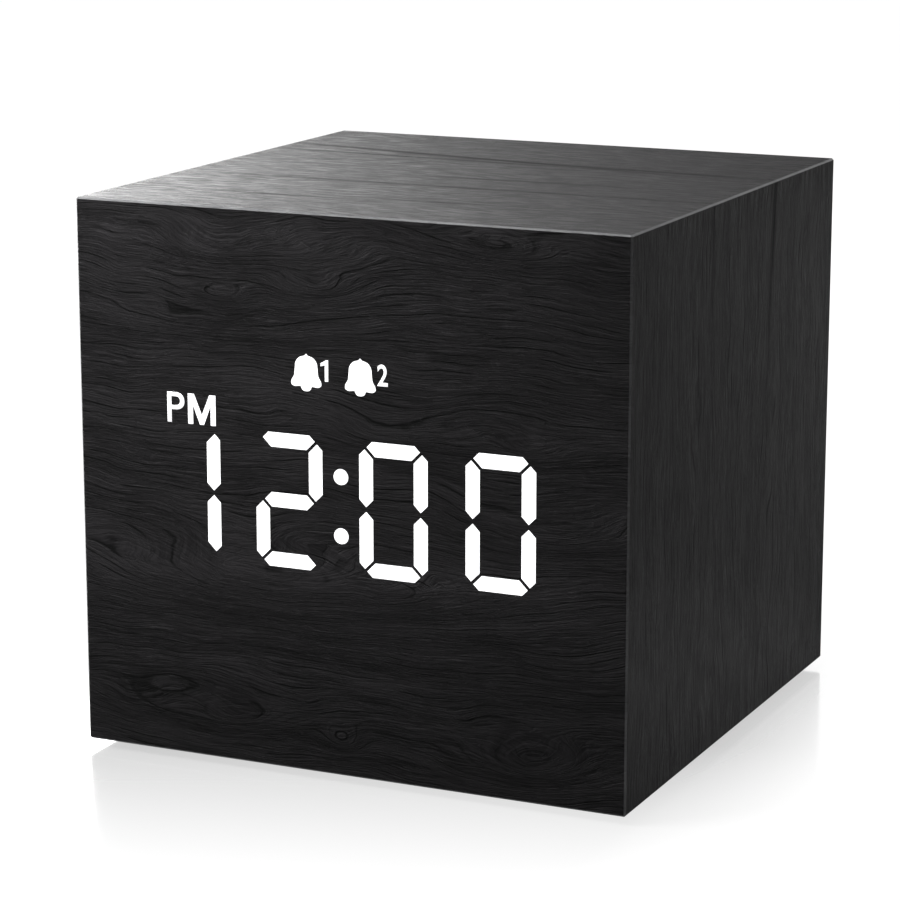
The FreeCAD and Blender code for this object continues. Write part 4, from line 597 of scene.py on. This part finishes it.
# Dark streaks on the sleeve, with a darkness in place of the lift
SLEEVE_STREAKS = [
    (-8.0, 15.4, 22.0, 0.55, 1.0, -0.16),
    (-10.0, 12.9, 18.0, 0.4, 0.8, -0.05),
    (20.0, 12.6, 22.0, 0.55, 1.0, -0.07),
    (10.0, -8.7, 26.0, 0.5, 0.7, 0.0),
    (6.0, -1.2, 12.0, 0.45, 0.5, 0.02),
    (-15.0, -22.0, 7.0, 0.35, 0.6, 0.0),
    (5.0, -20.0, 9.0, 0.35, 0.6, 0.02),
]
print("the film has", len(FACE_EYES) + len(SLEEVE_EYES), "eyes and", len(SLEEVE_STREAKS), "streaks")

# %% Film finishes
CUBE_TOP = 63.5
FOOT_TALL = 1.0
FILM_SPECULAR = 0.08
FILM_IOR = 1.5
# How much each part of the figure adds to the printed tone and to the pressed height
TONE_SHARES = {"Fibre": 0.25, "Band": 0.25, "Stroke": 0.5, "Ring": -0.9}
HEIGHT_SHARES = {"Fibre": 0.5, "Ring": -0.8, "Stroke": 0.6, "Pore": -0.6}
# Roughness where the tone is dark and where it is light
TONE_ROUGHNESS = (0.56, 0.42)
# A streak's strength in a dark stroke and in a light one, its darkness, and how much duller it is
STREAK_STRENGTH = (1.5, 0.4)
STREAK_DARKNESS = -0.9
STREAK_ROUGHNESS = 0.35
# Flecks are fainter below the first height in mm and full from the second, which is only the top
FLECK_HEIGHTS = (60.0, 63.2)
FLECKS_BELOW = 0.35
FLECK_PRESS = 2.0


def add_spots(tree, along, across, spots):
    """The spots, each times its lift, added up."""
    total = 0.0
    for at_along, at_across, length, width, lift, slope in spots:
        spot = use_group(
            tree,
            "soft_spot",
            Along=along,
            Across=across,
            At_Along=at_along,
            At_Across=at_across,
            Half_Length=length,
            Half_Width=width,
            Slope=slope,
        )["Spot"]
        total = sum_of(tree, "MULTIPLY_ADD", spot, lift, total)
    return total


def finish_film(name, board, eyes, streaks, shades, seed, depth, ink, flecks):
    """Film whose figure follows the board's own directions.

    The ink gives the tones that are printed dark and light, and flecks vary the gloss.
    """
    material, tree, shader = start_material(name, Specular_IOR_Level=FILM_SPECULAR, IOR=FILM_IOR)
    _, x, y, z = millimetres(tree)
    along, across = board(tree, x, y, z)
    lift = add_spots(tree, along, across, eyes)
    grain = use_group(tree, "figured_grain", Along=along, Across=across, Lift=lift, Seed=seed)
    broken = stretch(tree, grain["Stroke"], 0.0, 1.0, *STREAK_STRENGTH, smooth=False)
    streak = sum_of(tree, "MULTIPLY", add_spots(tree, along, across, streaks), broken)

    tone = weighted_sum(tree, grain, TONE_SHARES)
    tone = sum_of(tree, "MULTIPLY_ADD", streak, STREAK_DARKNESS, tone)
    # On the face the shades darken the bottom and right and lighten the upper left as painted shade and
    # light, and they add printed figure bands
    tone = sum_of(tree, "SUBTRACT", tone, add_spots(tree, along, across, shades))
    printed = tint(tree, stretch(tree, tone, *ink, smooth=False), FILM_DARK, FILM_LIGHT)
    # The folds are tinted pale: a painted highlight
    fold = use_group(tree, "fold_highlight")["Fold"]
    tree.links.new(tint(tree, fold, printed, FILM_FOLD_HIGHLIGHT), shader.inputs["Base Color"])

    fleck = stretch(tree, z, *FLECK_HEIGHTS, flecks * FLECKS_BELOW, flecks)
    rough = stretch(tree, tone, 0.0, 1.0, *TONE_ROUGHNESS, smooth=False)
    rough = sum_of(tree, "MULTIPLY_ADD", sum_of(tree, "SUBTRACT", grain["Fleck"], 0.5), fleck, rough)
    rough = sum_of(tree, "MULTIPLY_ADD", streak, STREAK_ROUGHNESS, rough)
    tree.links.new(rough, shader.inputs["Roughness"])

    pressed = sum_of(tree, "MULTIPLY", fleck, FLECK_PRESS)
    height = sum_of(tree, "MULTIPLY_ADD", grain["Fleck"], pressed, weighted_sum(tree, grain, HEIGHT_SHARES))
    emboss(tree, shader, height, depth)
    print(name, "has", len(tree.nodes), "nodes")
    return material


def face_board(tree, x, y, z):
    """On the display face the board lies level."""
    return x, sum_of(tree, "SUBTRACT", z, FOOT_TALL)


def sleeve_board(tree, x, y, z):
    """Round the sleeve the board runs over the top and down both sides, and turns in at the rear rim."""
    below = sum_of(tree, "SUBTRACT", CUBE_TOP, z)
    along = sum_of(tree, "MULTIPLY_ADD", below, sum_of(tree, "SIGN", x), x)
    inside = sum_of(tree, "SUBTRACT", HALF_WIDTH, sum_of(tree, "ABSOLUTE", x))
    above = sum_of(tree, "SUBTRACT", z, FOOT_TALL)
    rim = sum_of(tree, "MINIMUM", inside, sum_of(tree, "MINIMUM", below, above))
    return along, sum_of(tree, "ADD", y, rim)


def dress(node, material):
    """Gives a CAD node its finish."""
    slots = frame["nodes"][node].data.materials
    slots.clear()
    slots.append(material)


face_film = finish_film(
    "face_film",
    board=face_board,
    eyes=FACE_EYES,
    streaks=[],
    shades=FACE_PAINTED_SHADE_AND_BANDS,
    seed=0.0,
    depth=0.12,
    ink=(0.0, 0.9),
    flecks=0.0,
)
sleeve_film = finish_film(
    "sleeve_film",
    board=sleeve_board,
    eyes=SLEEVE_EYES,
    streaks=SLEEVE_STREAKS,
    shades=[],
    seed=9.0,
    depth=0.035,
    ink=(-0.6, 1.4),
    flecks=0.20,
)
dress("front_film", face_film)
dress("sleeve_film", sleeve_film)

# %% [markdown]
# ## Moulded, pressed and cast finishes
#
# Most other parts are small mouldings, pressings and boards. They share one effect: a fine grain that
# bumps the surface, broad patches that vary its colour, and faint scuffs that vary its gloss. So the
# effect is one group, and a table gives each finish its own colours, gloss, grain and depth.

# %% Surface detail group
# How far scuffs are drawn out along x, y and z, as steps of noise per mm
SCUFF_STEPS = (0.25, 2.2, 0.9)
# Noise between these limits becomes 0 to 1, and scuffs are the few highest spots
GRAIN_SPAN = (0.3, 0.7)
PATCH_SPAN = (0.35, 0.65)
SCUFF_SPAN = (0.56, 0.72)


def make_surface_detail():
    """Fine grain, broad patches and faint scuffs, each from 0 to 1, by grains and patches per millimetre."""
    start = {"Grains": 4.0, "Patches": 0.15, "Pull": 1.0}
    tree, given, out = start_group("surface_detail", start, ["Grain", "Patch", "Scuff"])
    spot, x, y, z = millimetres(tree)
    pulled = point(tree, sum_of(tree, "MULTIPLY", x, given["Pull"]), y, z)
    drawn_out = point(tree, *(sum_of(tree, "MULTIPLY", v, steps) for v, steps in zip((x, y, z), SCUFF_STEPS)))

    def scaled(vector, amount):
        node = tree.nodes.new("ShaderNodeVectorMath")
        node.operation = "SCALE"
        tree.links.new(vector, node.inputs[0])
        tree.links.new(amount, node.inputs["Scale"])
        return noise(tree, node.outputs[0], detail=3.0)

    tree.links.new(stretch(tree, scaled(pulled, given["Grains"]), *GRAIN_SPAN), out["Grain"])
    tree.links.new(stretch(tree, scaled(spot, given["Patches"]), *PATCH_SPAN), out["Patch"])
    tree.links.new(stretch(tree, noise(tree, drawn_out, detail=4.0), *SCUFF_SPAN), out["Scuff"])
    print("surface_detail has", len(tree.nodes), "nodes")


make_surface_detail()

# %% Finish table
CAN_DARK = (0.012, 0.020, 0.045, 1)
CAN_LIGHT = (0.020, 0.032, 0.070, 1)
# Each row: dark colour, light colour, metallic, least and most roughness, grains and patches per mm, how
# far the grain is pulled along x, and its depth in mm
FINISHES = {
    "black_abs": (grey(0.0215), grey(0.0275), 0, 0.42, 0.60, 5.0, 0.12, 1.0, 0.016),
    "key_plastic": (grey(0.026), grey(0.036), 0, 0.26, 0.40, 7.0, 0.3, 1.0, 0.004),
    "fibreboard": ((0.19, 0.115, 0.06, 1), (0.30, 0.19, 0.105, 1), 0, 0.75, 0.92, 2.4, 0.2, 0.3, 0.05),
    "white_plastic": (grey(0.66, 1.0, 0.97), grey(0.76, 1.0, 0.98), 0, 0.38, 0.52, 6.0, 0.15, 1.0, 0.006),
    "clear_lens": (grey(0.60), grey(0.72), 0, 0.22, 0.34, 6.0, 0.4, 1.0, 0.004),
    "lamp": ((0.80, 0.72, 0.30, 1), (0.88, 0.82, 0.45, 1), 0, 0.30, 0.42, 4.0, 0.8, 1.0, 0.006),
    "chip_black": (grey(0.012), grey(0.022), 0, 0.50, 0.66, 9.0, 0.3, 1.0, 0.010),
    "steel": (grey(0.42), grey(0.56, 1.0, 0.98), 1, 0.28, 0.44, 8.0, 0.5, 0.2, 0.004),
    "black_steel": (grey(0.018), grey(0.034), 1, 0.34, 0.50, 8.0, 0.5, 0.4, 0.006),
    "nickel": ((0.52, 0.49, 0.43, 1), (0.66, 0.63, 0.57, 1), 1, 0.18, 0.32, 6.0, 0.4, 0.2, 0.003),
    "foam": (grey(0.016), grey(0.045), 0, 0.85, 0.97, 2.6, 0.3, 1.0, 0.10),
    "rubber": (grey(0.012), grey(0.021), 0, 0.62, 0.80, 5.0, 0.2, 1.0, 0.020),
    "cone_paper": (grey(0.020), grey(0.045), 0, 0.72, 0.88, 1.6, 0.3, 0.5, 0.030),
    "capacitor_can": (CAN_DARK, CAN_LIGHT, 0, 0.28, 0.40, 5.0, 0.3, 1.0, 0.004),
    "circuit_card": ((0.006, 0.050, 0.022, 1), (0.010, 0.075, 0.034, 1), 0, 0.24, 0.36, 5.0, 0.2, 1.0, 0.003),
    "ribbon": (grey(0.30), grey(0.40), 0, 0.42, 0.55, 4.0, 0.2, 1.0, 0.003),
    "cell_can": (grey(0.020), grey(0.034), 0, 0.22, 0.34, 5.0, 0.2, 1.0, 0.003),
}
# How much grain and patches share in the colour, and scuffs and patches in the gloss
COLOUR_SHARES = {"Grain": 0.35, "Patch": 0.65}
GLOSS_SHARES = {"Scuff": 0.5, "Patch": 0.5}
LENS_CLEARNESS = 0.5


def finish_from_table(name):
    """A finish from the table, with its tree, shader and colour for a pattern on top."""
    dark, light, metallic, smooth, rough, grains, patches, pull, depth = FINISHES[name]
    material, tree, shader = start_material(name, Metallic=metallic)
    detail = use_group(tree, "surface_detail", Grains=grains, Patches=patches, Pull=pull)
    colour = tint(tree, weighted_sum(tree, detail, COLOUR_SHARES), dark, light)
    tree.links.new(colour, shader.inputs["Base Color"])
    gloss = weighted_sum(tree, detail, GLOSS_SHARES)
    tree.links.new(stretch(tree, gloss, 0.0, 1.0, rough, smooth, smooth=False), shader.inputs["Roughness"])
    emboss(tree, shader, detail["Grain"], depth)
    return material, tree, shader, colour


made = {name: finish_from_table(name) for name in FINISHES}
slot_finish = {name: parts[0] for name, parts in made.items()}
made["clear_lens"][2].inputs["Transmission Weight"].default_value = LENS_CLEARNESS
print(len(made), "table finishes")

# %% [markdown]
# ## Finishes with a pattern of their own
#
# Some parts carry more than grain: copper tracks under the green skin of a circuit card, ridges and a
# marked edge on the ribbon, a coloured band at the button end of each cell, and the light itself. Each
# pattern is worked out from the place in millimetres, on top of the shared surface detail.

# %% Circuit card
TRACK_COLOUR = (0.020, 0.17, 0.065, 1)
TRACK_SHOWS = 0.75
PAD_COLOUR = grey(0.55, 1.0, 0.93)
PADS_PER_MM = 0.42
# A pad's edge lies between these distances from its middle, in steps of the pad pattern
PAD_EDGE = (0.13, 0.17)
CARD_RELIEF = 0.03
TRACK_RELIEF = 0.6
# Sizes in mm: the tracks are the joints of a wall of bricks, each row shifted by a part of a brick
TRACKS = {"Scale": 1.0, "Mortar Size": 0.14, "Mortar Smooth": 0.1, "Brick Width": 5.3, "Row Height": 1.9}
ROW_SHIFT = 0.37


def add_tracks_and_pads(_, tree, shader, colour):
    """Tracks that turn in square steps under the green skin, with small bright pads."""
    _, x, _, z = millimetres(tree)
    bricks = tree.nodes.new("ShaderNodeTexBrick")
    bricks.offset = ROW_SHIFT
    for label, number in TRACKS.items():
        bricks.inputs[label].default_value = number
    tree.links.new(point(tree, x, z, 0.0), bricks.inputs["Vector"])
    track = bricks.outputs["Fac"]
    tracks = tint(tree, sum_of(tree, "MULTIPLY", track, TRACK_SHOWS), colour, TRACK_COLOUR)
    spots = tree.nodes.new("ShaderNodeTexVoronoi")
    spots.inputs["Scale"].default_value = PADS_PER_MM
    tree.links.new(point(tree, x, z, 2.0), spots.inputs["Vector"])
    pads = stretch(tree, spots.outputs["Distance"], *PAD_EDGE, 1.0, 0.0)
    tree.links.new(tint(tree, pads, tracks, PAD_COLOUR), shader.inputs["Base Color"])
    emboss(tree, shader, sum_of(tree, "MULTIPLY_ADD", track, TRACK_RELIEF, pads), CARD_RELIEF)
    print("circuit card has a pad for about every", round(1 / PADS_PER_MM, 1), "mm")


add_tracks_and_pads(*made["circuit_card"])

# %% Ribbon and cells
RIBBON_RED = (0.42, 0.02, 0.02, 1)
# The red wire's colour ends between these places along x, in mm
RED_EDGE = (-4.6, -4.4)
WIRE_RELIEF = 0.12
COPPER = (0.42, 0.17, 0.055, 1)
COPPER_SHINE = 0.7
CELL_RADIUS = 5.25
CELL_GAP = 0.2
CELL_MIDDLE = -0.8
# The band begins between these distances from the cell's middle towards its button, in mm
BAND_EDGE = (9.0, 9.1)


def add_wires(_, tree, shader, colour):
    """A ridge for each wire, a millimetre apart, and one red edge."""
    _, x, _, _ = millimetres(tree)
    edge = stretch(tree, x, *RED_EDGE, 1.0, 0.0)
    tree.links.new(tint(tree, edge, colour, RIBBON_RED), shader.inputs["Base Color"])
    wave = sum_of(tree, "SINE", sum_of(tree, "MULTIPLY", x, math.pi))
    emboss(tree, shader, sum_of(tree, "ABSOLUTE", wave), WIRE_RELIEF)
    print("ribbon ridges stand 1 mm apart")


def add_copper_band(_, tree, shader, colour):
    """A copper-coloured band at the button end of each cell. The middle cell lies the other way."""
    _, x, y, _ = millimetres(tree)
    middle = sum_of(tree, "LESS_THAN", sum_of(tree, "ABSOLUTE", x), CELL_RADIUS + CELL_GAP)
    way = stretch(tree, middle, 0.0, 1.0, 1.0, -1.0, smooth=False)
    towards = sum_of(tree, "MULTIPLY", sum_of(tree, "SUBTRACT", y, CELL_MIDDLE), way)
    band = stretch(tree, towards, *BAND_EDGE)
    tree.links.new(tint(tree, band, colour, COPPER), shader.inputs["Base Color"])
    tree.links.new(sum_of(tree, "MULTIPLY", band, COPPER_SHINE), shader.inputs["Metallic"])
    print("copper bands start", BAND_EDGE[0], "mm from the cells' middle")


add_wires(*made["ribbon"])
add_copper_band(*made["cell_can"])

# %% Lit lens
LIGHT_COOL = (0.97, 0.98, 1.0, 1)
LIGHT_WHITE = (1.0, 1.0, 1.0, 1)
LENS_BODY = grey(0.8)
LENS_RELIEF = 0.003


def finish_lit_lens():
    """The white light itself, a touch cooler and dimmer in broad patches."""
    material, tree, shader = start_material("lit_lens", Roughness=0.35, Specular_IOR_Level=0.2)
    shader.inputs["Base Color"].default_value = LENS_BODY
    shader.inputs["Emission Strength"].default_value = 1.0
    detail = use_group(tree, "surface_detail", Grains=1.5, Patches=0.4, Pull=1.0)
    tree.links.new(tint(tree, detail["Patch"], LIGHT_COOL, LIGHT_WHITE), shader.inputs["Emission Color"])
    emboss(tree, shader, detail["Grain"], LENS_RELIEF)
    print("lit_lens has", len(tree.nodes), "nodes")
    return material


slot_finish["lit_lens"] = finish_lit_lens()

# %% Dress every other node
for part in frame["record"]["subparts"]:
    if part["material_slot"] != "black_film":
        dress(part["node"], slot_finish[part["material_slot"]])
for key in ("talk_key", "set_key", "down_key", "up_key"):
    dress(key, slot_finish["key_plastic"])

# %% [markdown]
# ## Lit signs
#
# The photograph also shows an afternoon sign and two numbered alarm bells, lit like the digits. They
# are thin openings in the film, too fine for CAD, so here they are thin lit pieces on the film's face.
# The P and the 2 start as a text object, the M and the 1 as straight corners, and a bell as a curve that is
# smooth except at its corners. Each is made a mesh first, then fitted to the box that the photograph gives,
# and drawn out to a thin sheet.

# %% Flat shapes
SIGN_THICK = 0.03
MERGE_WITHIN = 1e-5


def mesh_from_curve(curve):
    """The filled outline of a text or curve as a mesh."""
    holder = bpy.data.objects.new("outline", curve)
    bpy.context.scene.collection.objects.link(holder)
    bpy.context.view_layer.update()
    mesh = bpy.data.meshes.new_from_object(holder.evaluated_get(bpy.context.evaluated_depsgraph_get()))
    bpy.data.objects.remove(holder)
    return mesh


def letters(text, boldness):
    """Letters of the plain built-in face, thickened by boldness of their height."""
    curve = bpy.data.curves.new("letters", "FONT")
    curve.body = text
    curve.offset = boldness
    return mesh_from_curve(curve)


def bell():
    """A bell with a knob on top, a flared rim and a clapper. Sharp points have straight handles."""
    half = [
        ("AUTO", 0.10, 4.02),
        ("VECTOR", 0.20, 3.90),
        ("AUTO", 0.86, 3.66),
        ("AUTO", 1.27, 3.12),
        ("AUTO", 1.36, 2.50),
        ("AUTO", 1.46, 1.70),
        ("AUTO", 1.80, 0.98),
        ("AUTO", 1.72, 0.62),
        ("VECTOR", 0.66, 0.52),
        ("AUTO", 0.45, 0.13),
    ]
    other_half = [(kind, -x, z) for kind, x, z in reversed(half)]
    spots = half + [("AUTO", 0.0, 0.0)] + other_half + [("AUTO", 0.0, 4.1)]
    curve = bpy.data.curves.new("bell", "CURVE")
    curve.dimensions = "2D"
    curve.fill_mode = "BOTH"
    spline = curve.splines.new("BEZIER")
    spline.bezier_points.add(len(spots) - 1)
    for knot, (kind, x, z) in zip(spline.bezier_points, spots):
        knot.co = (x, z, 0)
        knot.handle_left_type = knot.handle_right_type = kind
    spline.use_cyclic_u = True
    return mesh_from_curve(curve)


def straight_shape(corners):
    """A flat shape with straight edges, from corners in a box one wide and one tall."""
    mesh = bpy.data.meshes.new("straight")
    mesh.from_pydata([(x, y, 0.0) for x, y in corners], [], [range(len(corners))])
    return mesh


def add_sign(name, mesh, left, right, low, high):
    """Fits a flat shape into a box on the display face, in mm, and draws it out to a thin lit sheet."""
    shape = bmesh.new()
    shape.from_mesh(mesh)
    bmesh.ops.remove_doubles(shape, verts=shape.verts, dist=MERGE_WITHIN)
    xs = [v.co.x for v in shape.verts]
    ys = [v.co.y for v in shape.verts]
    wide = (right - left) / (max(xs) - min(xs))
    tall = (high - low) / (max(ys) - min(ys))
    for v in shape.verts:
        x = left + (v.co.x - min(xs)) * wide
        z = low + (v.co.y - min(ys)) * tall
        v.co = Vector((x, -HALF_WIDTH, z)) * MM
    grown = bmesh.ops.extrude_face_region(shape, geom=shape.faces[:])
    front = [part for part in grown["geom"] if isinstance(part, bmesh.types.BMVert)]
    bmesh.ops.translate(shape, verts=front, vec=(0, -SIGN_THICK * MM, 0))
    bmesh.ops.recalc_face_normals(shape, faces=shape.faces)
    sheet = bpy.data.meshes.new(name)
    shape.to_mesh(sheet)
    shape.free()
    sign = bpy.data.objects.new(name, sheet)
    bpy.context.scene.collection.objects.link(sign)
    sheet.materials.append(slot_finish["lit_lens"])
    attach(sign, "cabinet")
    print(name, "has", len(sheet.polygons), "faces")


# %% Signs
HALF_M = [(0.57, 0.0), (0.82, 0.64), (0.82, 0.0), (1.0, 0.0), (1.0, 1.0), (0.78, 1.0), (0.5, 0.32)]
LETTER_M = HALF_M + [(1.0 - x, y) for x, y in reversed(HALF_M[:-1])]
NUMBER_1 = [(0.56, 0.0), (1.0, 0.0), (1.0, 1.0), (0.74, 1.0), (0.0, 0.84), (0.0, 0.69), (0.56, 0.77)]
add_sign("afternoon_p", letters("P", 0.004), left=-21.85, right=-19.70, low=39.15, high=42.55)
add_sign("afternoon_m", straight_shape(LETTER_M), left=-19.25, right=-15.80, low=39.15, high=42.55)
add_sign("alarm_1_bell", bell(), left=-6.40, right=-2.75, low=44.05, high=48.15)
add_sign("alarm_1_number", straight_shape(NUMBER_1), left=-2.82, right=-1.92, low=45.30, high=47.65)
add_sign("alarm_2_bell", bell(), left=0.10, right=3.75, low=44.05, high=48.15)
add_sign("alarm_2_number", letters("2", 0.015), left=3.98, right=5.20, low=45.35, high=47.70)

# %% [markdown]
# ## Screw recesses
#
# Each corner screw of the back cover has a cross recess for a driver. It is far too shallow to matter in CAD,
# so a thin dark cross of twelve corners lies on each head as the recess's painted shade, and its gloss
# catches the light.

# %% Cross recesses
CROSS_THICK = 0.01
CROSS_PROUD = 0.01


def cross_corners(long, wide):
    """The twelve corners of a cross round 0, 0 in mm, from the length and width of its bars."""
    far, near = long / 2, wide / 2
    quarter = [(far, near), (near, near), (near, far)]
    corners = []
    for _ in range(4):
        corners += quarter
        quarter = [(-z, x) for x, z in quarter]
    return corners


def add_crosses(node, across, bar_long, bar_wide):
    """A thin dark cross on each flat screw head, in mm, just proud of the head's face, as painted shade of
    the recess.
    """
    low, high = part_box(node)
    inset = across / 2
    face = high[1] / MM + CROSS_PROUD
    shape = bmesh.new()
    for x in (low[0] / MM + inset, high[0] / MM - inset):
        for z in (low[2] / MM + inset, high[2] / MM - inset):
            outline = [(x + dx, face, z + dz) for dx, dz in cross_corners(bar_long, bar_wide)]
            shape.faces.new([shape.verts.new(Vector(place) * MM) for place in outline])
    grown = bmesh.ops.extrude_face_region(shape, geom=shape.faces[:])
    back = [part for part in grown["geom"] if isinstance(part, bmesh.types.BMVert)]
    bmesh.ops.translate(shape, verts=back, vec=(0, -CROSS_THICK * MM, 0))
    bmesh.ops.recalc_face_normals(shape, faces=shape.faces)
    mesh = bpy.data.meshes.new("screw_recess_shade")
    shape.to_mesh(mesh)
    shape.free()
    piece = bpy.data.objects.new("screw_recess_shade", mesh)
    bpy.context.scene.collection.objects.link(piece)
    # The near-black cross is painted shade of the recess
    mesh.materials.append(slot_finish["chip_black"])
    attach(piece, "cabinet")
    print("screw_recess_shade has", len(mesh.polygons), "faces")


add_crosses("cover_screws", across=4.4, bar_long=2.3, bar_wide=0.5)
